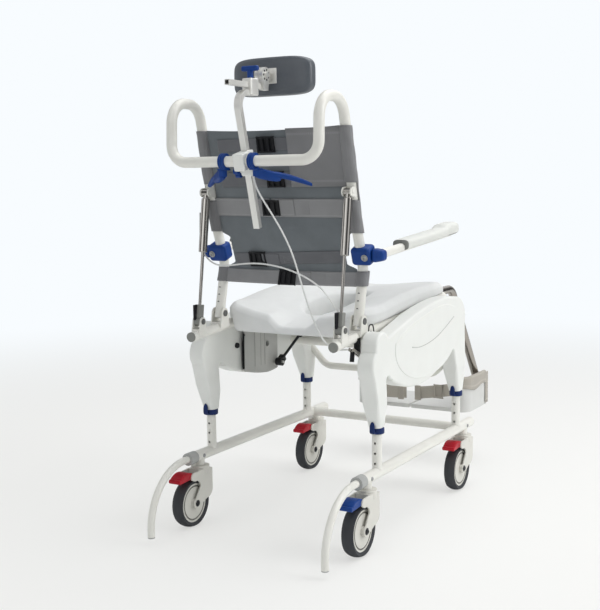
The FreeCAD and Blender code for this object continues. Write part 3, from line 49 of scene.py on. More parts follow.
# Places that several pieces share, in millimetres: +X is the sitter's left, and the sitter faces -Y
SIDES = (("left", 1), ("right", -1))
RAIL_X, RAIL_Z = 240, 176
HUB_Y = (("rear", 427), ("front", -195))
HUB_Z = 62.5
UPRIGHT_X = 198
ARM_PIVOT_Y, ARM_PIVOT_Z = 316, 700
ARM_SLOPE = math.tan(math.radians(4.3))
SEAT_SLOPE = math.tan(math.radians(4.8))
ROD_HEAD_TOP = 574
HEAD_Z = 1120


# Materials

def linear(hex_colour):
    """sRGB hex to linear RGBA."""
    parts = [int(hex_colour[i:i + 2], 16) / 255 for i in (1, 3, 5)]
    return [c / 12.92 if c <= 0.04045 else ((c + 0.055) / 1.055) ** 2.4 for c in parts] + [1.0]


def add(tree, kind, links=(), **settings):
    """Add one node; settings named in_ are input sockets, the rest properties; links are (output, socket)."""
    made = tree.nodes.new(kind)
    for name, value in settings.items():
        if name.startswith("in_"):
            key = name[3:]
            made.inputs[int(key) if key.isdigit() else key.replace("_", " ")].default_value = value
        else:
            setattr(made, name, value)
    for output, socket in links:
        tree.links.new(output, made.inputs[socket])
    return made


def finish_material(name, colour, roughness, metallic=0.0, **shader):
    """A principled material, its tree and shader, and its place in object coordinates."""
    made = bpy.data.materials.new(name)
    made.use_nodes = True
    tree = made.node_tree
    bsdf = tree.nodes["Principled BSDF"]
    bsdf.inputs["Base Color"].default_value = linear(colour)
    bsdf.inputs["Roughness"].default_value = roughness
    bsdf.inputs["Metallic"].default_value = metallic
    for key, value in shader.items():
        bsdf.inputs[key.replace("_", " ")].default_value = value
    place = add(tree, "ShaderNodeTexCoord")
    return made, tree, bsdf, place.outputs["Object"]


def grain(tree, bsdf, place, pitch_mm, depth_mm):
    """Bump from noise whose cells are about pitch_mm wide."""
    noise = add(tree, "ShaderNodeTexNoise", [(place, "Vector")], in_Scale=1 / (pitch_mm * MM), in_Detail=2.0)
    bump = add(tree, "ShaderNodeBump", [(noise.outputs["Fac"], "Height")], in_Distance=depth_mm * MM)
    tree.links.new(bump.outputs["Normal"], bsdf.inputs["Normal"])


def mottle(tree, bsdf, place, low, high, size_mm, roughness):
    """Slow drift between two tones, with the roughness drifting along."""
    noise = add(tree, "ShaderNodeTexNoise", [(place, "Vector")], in_Scale=1 / (size_mm * MM), in_Detail=3.0)
    tone = add(tree, "ShaderNodeMix", [(noise.outputs["Fac"], 0)], data_type="RGBA", in_6=linear(low),
               in_7=linear(high))
    tree.links.new(tone.outputs[2], bsdf.inputs["Base Color"])
    span = add(tree, "ShaderNodeMapRange", [(noise.outputs["Fac"], "Value")], in_To_Min=roughness[0],
               in_To_Max=roughness[1])
    tree.links.new(span.outputs["Result"], bsdf.inputs["Roughness"])


def coated_tube():
    """Epoxy powder coat on steel tube: warm white, satin, faint orange peel."""
    made, tree, bsdf, place = finish_material("powder_coat_white", "#E6E4DD", 0.34)
    mottle(tree, bsdf, place, "#E2E0D8", "#E9E8E2", 60, (0.28, 0.40))
    grain(tree, bsdf, place, 2.5, 0.06)
    return made


def moulded(name, low, high, roughness, pitch=1.4, depth=0.05, specular=0.5):
    """Injection-moulded plastic with a spark-eroded grain and a slight sheen."""
    made, tree, bsdf, place = finish_material(name, low, roughness[0], Specular_IOR_Level=specular)
    mottle(tree, bsdf, place, low, high, 45, roughness)
    grain(tree, bsdf, place, pitch, depth)
    return made


def foam_skin(name, low, high, roughness=(0.46, 0.56)):
    """Integral-skin polyurethane: a closed soft skin with a fine pebble."""
    made, tree, bsdf, place = finish_material(name, low, roughness[0])
    mottle(tree, bsdf, place, low, high, 30, roughness)
    cells = add(tree, "ShaderNodeTexVoronoi", [(place, "Vector")], in_Scale=1 / (2.6 * MM))
    bump = add(tree, "ShaderNodeBump", [(cells.outputs["Distance"], "Height")], in_Distance=0.06 * MM,
               in_Strength=0.3)
    tree.links.new(bump.outputs["Normal"], bsdf.inputs["Normal"])
    return made


def woven(name, low, high, pitch_mm, stitched=False):
    """Plain weave from two crossed thread waves, drawn coarser than the real thread so that it shows.

    A stitched one has a dashed seam near both edges, by the piece's UV map: metres along, -1 to 1 across.
    """
    made, tree, bsdf, place = finish_material(name, low, 0.74, Sheen_Weight=0.2, Sheen_Roughness=0.5)
    scale = 1 / (pitch_mm * MM) / math.pi
    warp = add(tree, "ShaderNodeTexWave", [(place, "Vector")], in_Scale=scale, bands_direction="X")
    weft = add(tree, "ShaderNodeTexWave", [(place, "Vector")], in_Scale=scale, bands_direction="Z")
    cloth = add(tree, "ShaderNodeMath", [(warp.outputs["Fac"], 0), (weft.outputs["Fac"], 1)],
                operation="MULTIPLY")
    noise = add(tree, "ShaderNodeTexNoise", [(place, "Vector")], in_Scale=1 / (40 * MM), in_Detail=5.0)
    even = add(tree, "ShaderNodeMapRange", [(noise.outputs["Fac"], "Value")], in_To_Min=0.26, in_To_Max=0.74)
    shade = add(tree, "ShaderNodeMath", [(cloth.outputs[0], 0), (even.outputs[0], 2)],
                operation="MULTIPLY_ADD", in_1=0.5)
    tone = add(tree, "ShaderNodeMix", [(shade.outputs[0], 0)], data_type="RGBA", in_6=linear(low),
               in_7=linear(high))
    if stitched:
        way = add(tree, "ShaderNodeUVMap", uv_map="UVMap")
        parts = add(tree, "ShaderNodeSeparateXYZ", [(way.outputs[0], 0)])
        near = add(tree, "ShaderNodeMath", [(parts.outputs["Y"], 0)], operation="ABSOLUTE")
        seam = add(tree, "ShaderNodeMath", [(near.outputs[0], 0)], operation="COMPARE", in_1=0.80, in_2=0.035)
        turn = add(tree, "ShaderNodeMath", [(parts.outputs["X"], 0)], operation="MULTIPLY",
                   in_1=2 * math.pi / (5 * MM))
        beat = add(tree, "ShaderNodeMath", [(turn.outputs[0], 0)], operation="SINE")
        dash = add(tree, "ShaderNodeMath", [(beat.outputs[0], 0)], operation="GREATER_THAN", in_1=-0.4)
        thread = add(tree, "ShaderNodeMath", [(seam.outputs[0], 0), (dash.outputs[0], 1)],
                     operation="MULTIPLY")
        tone = add(tree, "ShaderNodeMix", [(thread.outputs[0], 0), (tone.outputs[2], 6)], data_type="RGBA",
                   in_7=linear(high))
    tree.links.new(tone.outputs[2], bsdf.inputs["Base Color"])
    bump = add(tree, "ShaderNodeBump", [(cloth.outputs[0], "Height")], in_Distance=0.25 * MM, in_Strength=0.7)
    tree.links.new(bump.outputs["Normal"], bsdf.inputs["Normal"])
    return made


def bright_metal(name, colour, roughness):
    """Polished or ground metal with fine streaks along Z in its gloss."""
    made, tree, bsdf, place = finish_material(name, colour, roughness, 1.0)
    squeeze = add(tree, "ShaderNodeMapping", [(place, "Vector")], in_Scale=(1.0, 1.0, 0.05))
    noise = add(tree, "ShaderNodeTexNoise", [(squeeze.outputs[0], "Vector")], in_Scale=1 / (0.6 * MM))
    span = add(tree, "ShaderNodeMapRange", [(noise.outputs["Fac"], "Value")], in_To_Min=roughness * 0.7,
               in_To_Max=roughness * 1.5)
    tree.links.new(span.outputs["Result"], bsdf.inputs["Roughness"])
    return made


WHITE_COAT = coated_tube()
PANEL = moulded("polypropylene_white", "#E2E3DF", "#E9EAE6", (0.38, 0.48))
GREY_PLASTIC = moulded("polyamide_grey", "#7C7D79", "#878883", (0.42, 0.52))
BOLT_GREY = moulded("polyamide_bolt_grey", "#565756", "#626361", (0.40, 0.50))
COLLAR_GREY = moulded("polyamide_collar_grey", "#A4A5A3", "#B0B1AF", (0.40, 0.50))
HOUSING_GREY = moulded("polyamide_pale_grey", "#ABABA7", "#B6B6B2", (0.42, 0.54))
# Painted shade: a darker grey for the ring groove on the wheels' discs, where shade lies in the groove.
GROOVE_SHADE = moulded("polyamide_groove_painted_shade", "#77756F", "#82807A", (0.5, 0.6))
TRAY_GREY = moulded("polypropylene_tray_grey", "#CDCDCA", "#D6D6D3", (0.40, 0.50))
BLUE = moulded("polyamide_blue", "#0C3478", "#14428C", (0.38, 0.48), specular=0.25)
NAVY = moulded("polyamide_navy", "#0C2254", "#132C64", (0.40, 0.50), specular=0.25)
RED = moulded("polyamide_red", "#A31122", "#B81A2C", (0.34, 0.44), specular=0.25)
BLACK = moulded("polyamide_black", "#131417", "#1B1C1F", (0.40, 0.50), specular=0.25)
SEAT_SKIN = foam_skin("polyurethane_pale_grey", "#D6D7D6", "#DFE0DF")
ARM_SKIN = foam_skin("polyurethane_white", "#D3D4CF", "#DBDCD7")
HEAD_SKIN = foam_skin("polyurethane_dark_grey", "#4A4F56", "#5C6167", (0.34, 0.42))
SLING_CLOTH = woven("polyester_sling_dark_grey", "#484E52", "#767C80", 2.4)
FLAP_CLOTH = woven("polyester_sling_grey", "#646465", "#88888A", 2.4, stitched=True)
LIGHT_STRAP = woven("polyester_webbing_grey", "#6E6E70", "#989899", 2.0, stitched=True)
DARK_STRAP = woven("polyester_webbing_dark_grey", "#4A4C50", "#6E6F73", 2.0, stitched=True)
BEIGE_CLOTH = woven("polyamide_webbing_beige", "#8F897F", "#B9B3A9", 2.0, stitched=True)
CHROME = bright_metal("chromed_steel", "#B3B0AB", 0.10)
NITRIDED = bright_metal("nitrided_steel_dark", "#3A3B3D", 0.28)
STEEL = bright_metal("zinc_plated_steel", "#9C9D9E", 0.30)
ALUMINIUM = bright_metal("anodised_aluminium", "#EDECE8", 0.42)
HANGER_STEEL = bright_metal("polished_hanger_steel", "#A19B94", 0.16)
TYRE = moulded("thermoplastic_rubber_tyre", "#2C2E32", "#383A3E", (0.60, 0.72), 2.2, 0.08)
WHEEL_DISC = moulded("polyamide_wheel_pale", "#D2D0C8", "#DBD9D2", (0.38, 0.48))
CABLE_SHEATH = moulded("cable_sheath_white", "#D6D7D5", "#E0E0DE", (0.36, 0.44), 3.0, 0.02)
HOLE_DARK = moulded("shaded_hole", "#17181A", "#202124", (0.7, 0.8))
# Painted shade: a darker grey for the thin line along the side panels' groove.
CREASE_SHADE = moulded("polypropylene_groove_painted_shade", "#A9AAA6", "#B4B5B1", (0.5, 0.6))


def paint(material, *names):
    """Give CAD nodes one material."""
    for name in names:
        slots = node[name].data.materials
        slots.clear()
        slots.append(material)


def paint_where(name, material, test):
    """Faces whose centres pass test(x, y, z), in millimetres, take one more material."""
    mesh = node[name].data
    mesh.materials.append(material)
    count = len(mesh.polygons)
    centres = np.zeros(count * 3)
    mesh.polygons.foreach_get("center", centres)
    index = np.zeros(count, int)
    mesh.polygons.foreach_get("material_index", index)
    x, y, z = (centres.reshape(-1, 3) / MM).T
    index[test(x, y, z)] = len(mesh.materials) - 1
    mesh.polygons.foreach_set("material_index", index)


paint(WHITE_COAT, "left_base_rail", "right_base_rail", "front_cross_tube", "lower_leg_tubes",
      "anti_tip_tubes", "frame_cross_tubes", "seat_frame", "left_back_tube", "right_back_tube", "push_bar",
      "left_arm_tube", "right_arm_tube")
paint(PANEL, "left_side_panel", "right_side_panel", "headrest_clamp")
paint(TRAY_GREY, "left_footplate", "right_footplate")
paint(BLUE, "arm_clamps", "lever_clamps", "left_lever", "right_lever", "clamp_knob", "t_knob")
paint(CHROME, "left_recline_cylinder", "right_recline_cylinder", "left_recline_rod", "right_recline_rod",
      "cable_adjusters")
paint(NITRIDED, "tilt_rod")
paint(ALUMINIUM, "headrest_stem", "headrest_arm", "headrest_joint")
paint(HANGER_STEEL, "left_footrest_tube", "right_footrest_tube")
paint(STEEL, "tilt_pivot_pins")
paint(BOLT_GREY, "frame_fittings")
paint(HOUSING_GREY, "tilt_housings")
paint(BLACK, "tilt_cylinder")

# Where a CAD node changes its material, in millimetres
SEAT_TUBE_END = 455
COLLAR_END, TIP_TUBE_R = 437.5, 9.6
ADJUSTER_Y, ADJUSTER_Z, ADJUSTER_FALL, ADJUSTER_R = 391, 482, 0.459, 6
BOOT_END = 325
ARM_SOCKET_R = 15.5
TYRE_INNER_R, GROOVE_R, GROOVE_HALF = 49.4, 43, 1.9


def in_boot(x, y, z):
    """Off the adjusters' sloping line by more than their radius, or past the boots' ends."""
    return (np.abs(z - (ADJUSTER_Z - (ADJUSTER_Y - y) * ADJUSTER_FALL)) > ADJUSTER_R) | (y < BOOT_END)


paint_where("frame_fittings", GREY_PLASTIC, lambda x, y, z: y > SEAT_TUBE_END)
paint_where("anti_tip_tubes", COLLAR_GREY,
            lambda x, y, z: (y < COLLAR_END) & (np.hypot(np.abs(x) - RAIL_X, z - RAIL_Z) > TIP_TUBE_R))
paint_where("cable_adjusters", BLACK, in_boot)
for word in ("left", "right"):
    paint_where(word + "_recline_rod", GREY_PLASTIC, lambda x, y, z: z < ROD_HEAD_TOP)
    paint_where(word + "_arm_tube", BLUE,
                lambda x, y, z: np.hypot(y - ARM_PIVOT_Y, z - ARM_PIVOT_Z) < ARM_SOCKET_R)
    for end, hub_y in HUB_Y:
        corner = word + "_" + end
        paint(WHEEL_DISC, corner + "_fork", corner + "_wheel")
        paint(BLUE if corner == "right_rear" else RED, corner + "_pedal")
        paint_where(corner + "_wheel", TYRE,
                    lambda x, y, z: np.hypot(y - hub_y, z - HUB_Z) > TYRE_INNER_R)
        # Painted shade: the ring groove on each wheel's disc takes a darker grey.
        paint_where(corner + "_wheel", GROOVE_SHADE,
                    lambda x, y, z: np.abs(np.hypot(y - hub_y, z - HUB_Z) - GROOVE_R) < GROOVE_HALF)


# Making new pieces

def piece_mesh(name, points, faces, material, body=None, slot=None, smooth=True, uv=None):
    """Object from points or a grid of them, in millimetres, and its faces; uv holds a pair for each point."""
    mesh = bpy.data.meshes.new(name)
    polygons = [tuple(int(i) for i in face) for face in faces]
    mesh.from_pydata(np.asarray(points, float).reshape(-1, 3) * MM, [], polygons)
    mesh.materials.append(material)
    mesh.polygons.foreach_set("use_smooth", [smooth] * len(mesh.polygons))
    if uv is not None:
        corner = np.zeros(len(mesh.loops), int)
        mesh.loops.foreach_get("vertex_index", corner)
        mesh.uv_layers.new(name="UVMap").data.foreach_set("uv", uv.reshape(-1, 2)[corner].ravel())
    made = bpy.data.objects.new(name, mesh)
    bpy.context.scene.collection.objects.link(made)
    if body:
        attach(made, body)
    return made


def grid_faces(rows, columns, wrap_rows=False, wrap_columns=False):
    """Quads of a rows by columns grid, closed round either way if asked."""
    r, c = np.meshgrid(np.arange(rows if wrap_rows else rows - 1),
                       np.arange(columns if wrap_columns else columns - 1), indexing="ij")
    here, below = r * columns, (r + 1) % rows * columns
    beside = (c + 1) % columns
    return np.stack([here + c, here + beside, below + beside, below + c], -1).reshape(-1, 4)


def tube_faces(rows, columns):
    """Quads round a tube of rings, and one face over each end."""
    last = (rows - 1) * columns
    return [*grid_faces(rows, columns, wrap_columns=True), range(columns), range(last, last + columns)]


def outward(made):
    """Merge doubles and point the faces outwards."""
    work = bmesh.new()
    work.from_mesh(made.data)
    bmesh.ops.remove_doubles(work, verts=work.verts, dist=1e-6)
    bmesh.ops.recalc_face_normals(work, faces=work.faces)
    work.to_mesh(made.data)
    work.free()
    return made


def smoothstep(t):
    """Rise from 0 to 1 that starts and ends level."""
    t = np.clip(t, 0, 1)
    return t * t * (3 - 2 * t)


def power(value, exponent):
    """Power of the size, with the sign kept."""
    return np.sign(value) * np.abs(value) ** exponent


def once_round(count):
    """Angles spaced evenly once round."""
    return np.linspace(0, 2 * np.pi, count, endpoint=False)


def block_grid(rows, columns, along_power, ring_power, side_power):
    """A ball pulled towards a box by powers below 1: along, across and up, each from -1 to 1 on a grid."""
    rise = np.linspace(-np.pi / 2, np.pi / 2, rows)[:, None]
    turn = once_round(columns)[None, :]
    ring = power(np.cos(rise), ring_power)
    along = power(np.sin(rise), along_power) + 0 * turn
    return along, ring * power(np.cos(turn), side_power), ring * power(np.sin(turn), side_power)


def soft_curve(marks, values, spread):
    """Values between marks, smoothed over spread millimetres."""
    fine = np.linspace(marks[0], marks[-1], 800)
    raw = np.interp(fine, marks, values)
    width = max(3, int(spread / (fine[1] - fine[0])))
    kernel = np.hanning(width)
    even = np.convolve(np.pad(raw, width, mode="edge"), kernel / kernel.sum(), mode="same")[width:-width]
    return lambda y: np.interp(y, fine, even)


def thicken(made, thickness):
    """Give a sheet its thickness in millimetres, half to each side."""
    solid = made.modifiers.new("thickness", "SOLIDIFY")
    solid.thickness = thickness * MM
    solid.offset = 0.0
    return made


def round_edges(made, width):
    """Bevel the sharp edges by a width in millimetres."""
    edge = made.modifiers.new("edge", "BEVEL")
    edge.width = width * MM
    edge.segments = 2
    edge.limit_method = "ANGLE"
    return made


def turned_part(name, profile, place, axis, material, body, slot, sides=28):
    """Turn a profile of (radius, height) round an axis through place, closed at both ends."""
    profile = np.array(profile, float)
    angle = once_round(sides)
    along = np.array(axis, float) / np.linalg.norm(axis)
    slanted = [0.31, 0.17, 0.93]  # a direction that no axis here shares
    other = np.cross(along, slanted)
    other /= np.linalg.norm(other)
    third = np.cross(along, other)
    ring = np.cos(angle)[None, :, None] * other + np.sin(angle)[None, :, None] * third
    points = np.array(place) + profile[:, None, :1] * ring + profile[:, None, 1:] * along
    faces = tube_faces(len(profile), sides)
    made = outward(piece_mesh(name, points, faces, material, body, slot, smooth=False))
    made.data.polygons.foreach_set("use_smooth", [len(p.vertices) == 4 for p in made.data.polygons])
    return round_edges(made, 0.3)


def bars(name, blocks, material, body, slot, bevel):
    """Bars from (x1, x2, y1, y2, z1, z2) in one piece, with rounded edges."""
    points, faces = [], []
    sides = [(0, 1, 3, 2), (4, 6, 7, 5), (0, 4, 5, 1), (2, 3, 7, 6), (0, 2, 6, 4), (1, 5, 7, 3)]
    for x1, x2, y1, y2, z1, z2 in blocks:
        faces += [tuple(i + len(points) for i in f) for f in sides]
        points += [(x, y, z) for x in (x1, x2) for y in (y1, y2) for z in (z1, z2)]
    return round_edges(outward(piece_mesh(name, points, faces, material, body, slot, smooth=False)), bevel)


# Lines and tubes

def nurbs_line(points):
    """Points of the smooth NURBS line whose control points these are, in millimetres."""
    curve = bpy.data.curves.new("route", "CURVE")
    curve.dimensions = "3D"
    spline = curve.splines.new("NURBS")
    spline.points.add(len(points) - 1)
    for spot, place in zip(spline.points, points):
        spot.co = [c * MM for c in place] + [1.0]
    spline.order_u = 3
    spline.use_endpoint_u = True
    curve.resolution_u = 10
    holder = bpy.data.objects.new("route", curve)
    bpy.context.scene.collection.objects.link(holder)
    bpy.context.view_layer.update()
    mesh = bpy.data.meshes.new_from_object(holder)
    line = np.array([v.co for v in mesh.vertices]) / MM
    bpy.data.objects.remove(holder)
    bpy.data.meshes.remove(mesh)
    return line


def headings(line):
    """Unit direction of a line at each of its points."""
    ahead = np.gradient(line, axis=0)
    return ahead / np.linalg.norm(ahead, axis=1)[:, None]


def carried_ring(line, radius):
    """Rings square to a line, all turned to the main axis that it keeps furthest from."""
    ahead = headings(line)
    steady = np.eye(3)[np.abs(ahead).max(0).argmin()]
    normal = np.cross(ahead, steady)
    normal /= np.linalg.norm(normal, axis=1)[:, None]
    side = np.cross(ahead, normal)
    turn = once_round(12)[None, :, None]
    return line[:, None, :] + radius * (np.cos(turn) * normal[:, None, :] + np.sin(turn) * side[:, None, :])


def line_tube(name, line, radius, material, body=None, slot=None):
    """Round tube along a line, closed at its ends."""
    rings = carried_ring(line, radius)
    return outward(piece_mesh(name, rings, tube_faces(*rings.shape[:2]), material, body, slot))


# Camera

PHOTO_WIDE, PHOTO_TALL = 600, 610
FOCAL_PIXELS = 1066.55
CENTRE_PIXEL = (298.05, 313.35)
CAMERA_PLACE = (-1.3280, 2.5869, 0.8703)
YAW, PITCH, ROLL = (math.radians(angle) for angle in (29.938, -6.967, -0.737))


def photo_camera():
    """The camera fitted to the photograph, by its place in metres and its lens in pixels."""
    ahead = np.array([math.sin(YAW) * math.cos(PITCH), -math.cos(YAW) * math.cos(PITCH), math.sin(PITCH)])
    level = np.cross(ahead, [0, 0, 1])
    level /= np.linalg.norm(level)
    upright = np.cross(level, ahead)
    lens = bpy.data.cameras.new("photo_camera")
    lens.sensor_fit = "HORIZONTAL"
    lens.sensor_width = 36
    lens.lens = lens.sensor_width * FOCAL_PIXELS / PHOTO_WIDE
    lens.shift_x = (PHOTO_WIDE / 2 - CENTRE_PIXEL[0]) / PHOTO_WIDE
    lens.shift_y = (CENTRE_PIXEL[1] - PHOTO_TALL / 2) / PHOTO_WIDE
    made = bpy.data.objects.new("photo_camera", lens)
    turn = np.eye(4)
    turn[:3, 0] = level * math.cos(ROLL) + upright * math.sin(ROLL)
    turn[:3, 1] = upright * math.cos(ROLL) - level * math.sin(ROLL)
    turn[:3, 2] = -ahead
    turn[:3, 3] = CAMERA_PLACE
    made.matrix_world = Matrix(turn.tolist())
    bpy.context.scene.collection.objects.link(made)
    bpy.context.scene.camera = made


photo_camera()


# Release cables

LEVER_CABLE = [(-24.3, 520, 900.7), (-25, 517, 872), (-41, 512, 838), (-64, 504, 800), (-84, 493, 760),
               (-99, 481, 718), (-107, 469, 676), (-113, 458, 636), (-119, 447, 598), (-127, 437, 562),
               (-136, 428, 529), (-149, 419, 501), (-166, 411, 485), (-184, 402, 480.5), (-199, 393.5, 482.5)]
LINK_CABLE = [(214, 392, 800), (215, 393, 762), (213, 393, 724), (203, 392, 693), (180, 394, 675),
              (146, 402, 669), (103, 416, 674), (57, 430, 680), (10, 440, 682), (-36, 446, 678),
              (-78, 449, 669), (-115, 447, 655), (-147, 441, 635), (-170, 434.5, 609), (-191.5, 427.5, 575)]
CABLE_R = 2.0


def cable(name, points):
    """Sheathed cable along its route."""
    line = nurbs_line(points)
    made = line_tube(name, line, CABLE_R, CABLE_SHEATH, slot="cable_white")
    return made


lever_cable = cable("lever_cable", LEVER_CABLE)
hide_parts("release_cables")
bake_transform(lever_cable)
link_cable = cable("link_cable", LINK_CABLE)
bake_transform(link_cable)


# Seat: a ring of sections from the opening's wall over the top and round the outer edge

SEAT_HALF_X, SEAT_HALF_Y, SEAT_Y = 213, 259, 53
OPENING_HALF_X, OPENING_HALF_Y, OPENING_Y = 65, 118, 70
SEAT_MARKS = [-206, -190, -120, 0, 120, 220, 290, 312]
crest = soft_curve(SEAT_MARKS, [586, 591, 596, 593, 584, 570, 567, 565], 60)
hollow = soft_curve(SEAT_MARKS, [574, 579, 580, 562, 545, 527, 514, 509], 60)


def seat_tube_z(y):
    """Height of the seat tubes' middle, which fall towards the rear."""
    return 497 + (464 - y) * SEAT_SLOPE


def seat_floor(y):
    """Underside of the seat's well, deepest in the middle."""
    return seat_tube_z(y) - 16 - 6 * np.cos(np.clip((y - SEAT_Y) / SEAT_HALF_Y, -1, 1) * np.pi / 2)


# Share of the rise from the hollow to the crest along the rear edge, by distance from the middle
REAR_X = [0, 32, 45, 57, 72, 111, 135, 186, 213]
REAR_SHARE = [0, 0.01, 0.10, 0.30, 0.55, 0.67, 0.78, 1, 1]


def seat_top(x, y):
    """Saddle between the crests; along the rear edge the hollow narrows to a flat bed with steep banks."""
    bank = smoothstep(np.abs(x) / 183)
    rear = np.interp(np.abs(x), REAR_X, REAR_SHARE)
    share = smoothstep((y - 205) / 85)
    return hollow(y) + (crest(y) - hollow(y)) * (bank * (1 - share) + rear * share)


def even_loop(half_x, half_y, middle_y, exponent, count):
    """Points spaced evenly round a superellipse."""
    turn = np.linspace(0, 2 * np.pi, 40001)
    x = half_x * power(np.cos(turn), 2 / exponent)
    y = middle_y + half_y * power(np.sin(turn), 2 / exponent)
    run = np.concatenate([[0], np.cumsum(np.hypot(np.diff(x), np.diff(y)))])
    at = np.linspace(0, run[-1], count, endpoint=False)
    return np.interp(at, run, x)[:, None], np.interp(at, run, y)[:, None]


def seat_shell():
    """Round the edge, each section runs up the opening, over the top, down the side and back below."""
    outer_x, outer_y = even_loop(SEAT_HALF_X, SEAT_HALF_Y, SEAT_Y, 9, 400)
    inner_x, inner_y = even_loop(OPENING_HALF_X, OPENING_HALF_Y, OPENING_Y, 2.3, 400)
    over = np.concatenate([np.linspace(0, 0.12, 9), np.linspace(0.15, 0.86, 28), np.linspace(0.88, 1, 14)])
    x = inner_x + (outer_x - inner_x) * over
    y = inner_y + (outer_y - inner_y) * over
    lip = 9 * np.clip(1 - over / 0.10, 0, 1) ** 2.2
    rim = 15 * np.clip((over - 0.89) / 0.11, 0, 1) ** 2.4
    z = seat_top(x, y) - lip - rim
    step = smoothstep((np.abs(outer_x) - 176) / 10)
    low = seat_floor(outer_y) + (seat_tube_z(outer_y) + 13 - seat_floor(outer_y)) * step
    reach = np.hypot(outer_x - inner_x, outer_y - inner_y)
    ray_x, ray_y = (outer_x - inner_x) / reach, (outer_y - inner_y) / reach
    down = np.linspace(0, 1, 8)[None, 1:]
    inset = 5 * np.clip((down - 0.7) / 0.3, 0, 1) ** 2
    side_z = z[:, -1:] + (low - z[:, -1:]) * down
    under = np.array([[8, 20, 30, 35, 36, 37, 44, 80]])
    under_y = outer_y - ray_y * under
    below = seat_floor(under_y)
    mix = smoothstep((under - 30) / 8)
    under_z = (low * (1 - mix) + below * mix) * step + below * (1 - step)
    foot = seat_floor(inner_y)
    wall_z = np.concatenate([foot, foot + 4, (foot + z[:, :1]) / 2], 1)
    loop_x = np.concatenate([inner_x + 0 * wall_z, x, outer_x - ray_x * inset, outer_x - ray_x * under], 1)
    loop_y = np.concatenate([inner_y + 0 * wall_z, y, outer_y - ray_y * inset, under_y], 1)
    loop_z = np.concatenate([wall_z, z, side_z, under_z], 1)
    return np.stack([loop_x, loop_y, loop_z], -1), grid_faces(*loop_z.shape, True, True)


seat = outward(piece_mesh("seat_cushion", *seat_shell(), SEAT_SKIN, "seat_unit", "soft_seat"))
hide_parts("seat")


# Back sling, its sleeves, straps and buckles

# The uprights' bends, as y and z
BACK_Y = [338, 309, 344, 412]
BACK_Z = [543, 665, 765, 1062]
SLING_HALF = 185.5
SLING_LOW, SLING_TALL = 624, 376


def back_y(z):
    """Place of the uprights' middle at a height, straight between their bends."""
    return np.interp(z, BACK_Z, BACK_Y)


def sling_y(x, z):
    """The sling bows back between the uprights, with slow waves where the straps pull it."""
    return back_y(z) + (16 + 1.6 * np.sin(z / 27)) * (1 - (x / SLING_HALF) ** 2)


def sling_web():
    """Sheet across the uprights with a waist cut on both sides for the arm clamps."""
    rise = np.linspace(0, 1, 96)[:, None]
    across = np.linspace(-1, 1, 81)[None, :]
    z = SLING_LOW + rise * (SLING_TALL - 6 * (1 - across * across))
    half = 183 - 24 * smoothstep((752 - z) / 14) * smoothstep((z - 662) / 14)
    x = half * across
    points = np.stack([x, sling_y(x, z) + 1.5, z], -1)
    made = piece_mesh("sling_web", points, grid_faces(*z.shape), SLING_CLOTH, "backrest", "sling_fabric")
    return thicken(made, 2.4)


def sling_sleeve(name, side, low, high, notch):
    """Hem round one upright, puckered a little, open at the notch for the spring's bracket."""
    z = np.linspace(low, high, max(8, int((high - low) / 5)))[:, None]
    turn = once_round(48)[None, :]
    radius = 14.9 + 0.45 * np.sin(z / 9 + 3 * turn) + 0.4 * np.sin(z / 23)
    x = side * UPRIGHT_X + radius * np.cos(turn)
    y = back_y(z) + radius * np.sin(turn)
    points = np.stack([x, y, z + 0 * turn], -1).reshape(-1, 3)
    uv = np.stack([z * MM + 0 * turn, np.cos(turn * 2) + 0 * z], -1)
    faces = grid_faces(*x.shape, wrap_columns=True)
    if notch:
        centre = points[faces].mean(1)
        at_bracket = np.abs(centre[:, 2] - 849) < 21
        faces = faces[~(at_bracket & (centre[:, 1] > back_y(centre[:, 2]) + 2))]
    made = outward(piece_mesh(name, points, faces, FLAP_CLOTH, "backrest", "sling_fabric", uv=uv))
    return thicken(made, 1.6)


def webbing(name, x1, x2, z1, z2, height, offset, material, slot="strap_webbing"):
    """Flat band across the sling's back from (x1, z1) to (x2, z2), rounded a little over its width."""
    along = np.linspace(0, 1, 70)[None, :]
    over = np.linspace(-1, 1, 11)[:, None]
    x = x1 + (x2 - x1) * along + 0 * over
    z = z1 + (z2 - z1) * along + over * height / 2
    y = sling_y(x, z) + offset + 0.5 * (1 - over * over)
    uv = np.stack([x * MM, over + 0 * x], -1)
    points = np.stack([x, y, z], -1)
    return thicken(piece_mesh(name, points, grid_faces(*x.shape), material, "backrest", slot, uv=uv), 1.6)


# How far behind the sling each layer lies
FLAP_LIES, STRAP_LIES, TAIL_LIES, BUCKLE_LIES, STITCH_LIES = 6.6, 4.4, 6.4, 5.8, 5.6


def lean_to_sling(made, x, z, offset):
    """Move a piece drawn round the origin onto the sling at (x, z), leaning with it."""
    lean = math.atan2(float(back_y(z + 8) - back_y(z - 8)), 16)
    place = Matrix.Translation((x * MM, (float(sling_y(x, z)) + offset) * MM, z * MM))
    made.data.transform(place @ Matrix.Rotation(-lean, 4, "X"))
    return made


def strap_buckle(name, x, z):
    """Ladder buckle: a frame with two cross bars, and the strap's free end folded over it."""
    blocks = [(-23, -19, 0, 6, -19, 19), (19, 23, 0, 6, -19, 19), (-23, 23, 0, 6, 15, 19),
              (-23, 23, 0, 6, -19, -15), (-11, -5, 0.5, 6.5, -17, 17), (5, 11, 0.5, 6.5, -17, 17),
              (-21, 21, 0.2, 2.4, -17, 17)]
    return lean_to_sling(bars(name, blocks, BLACK, "backrest", "black_moulding", 1.2), x, z, BUCKLE_LIES)


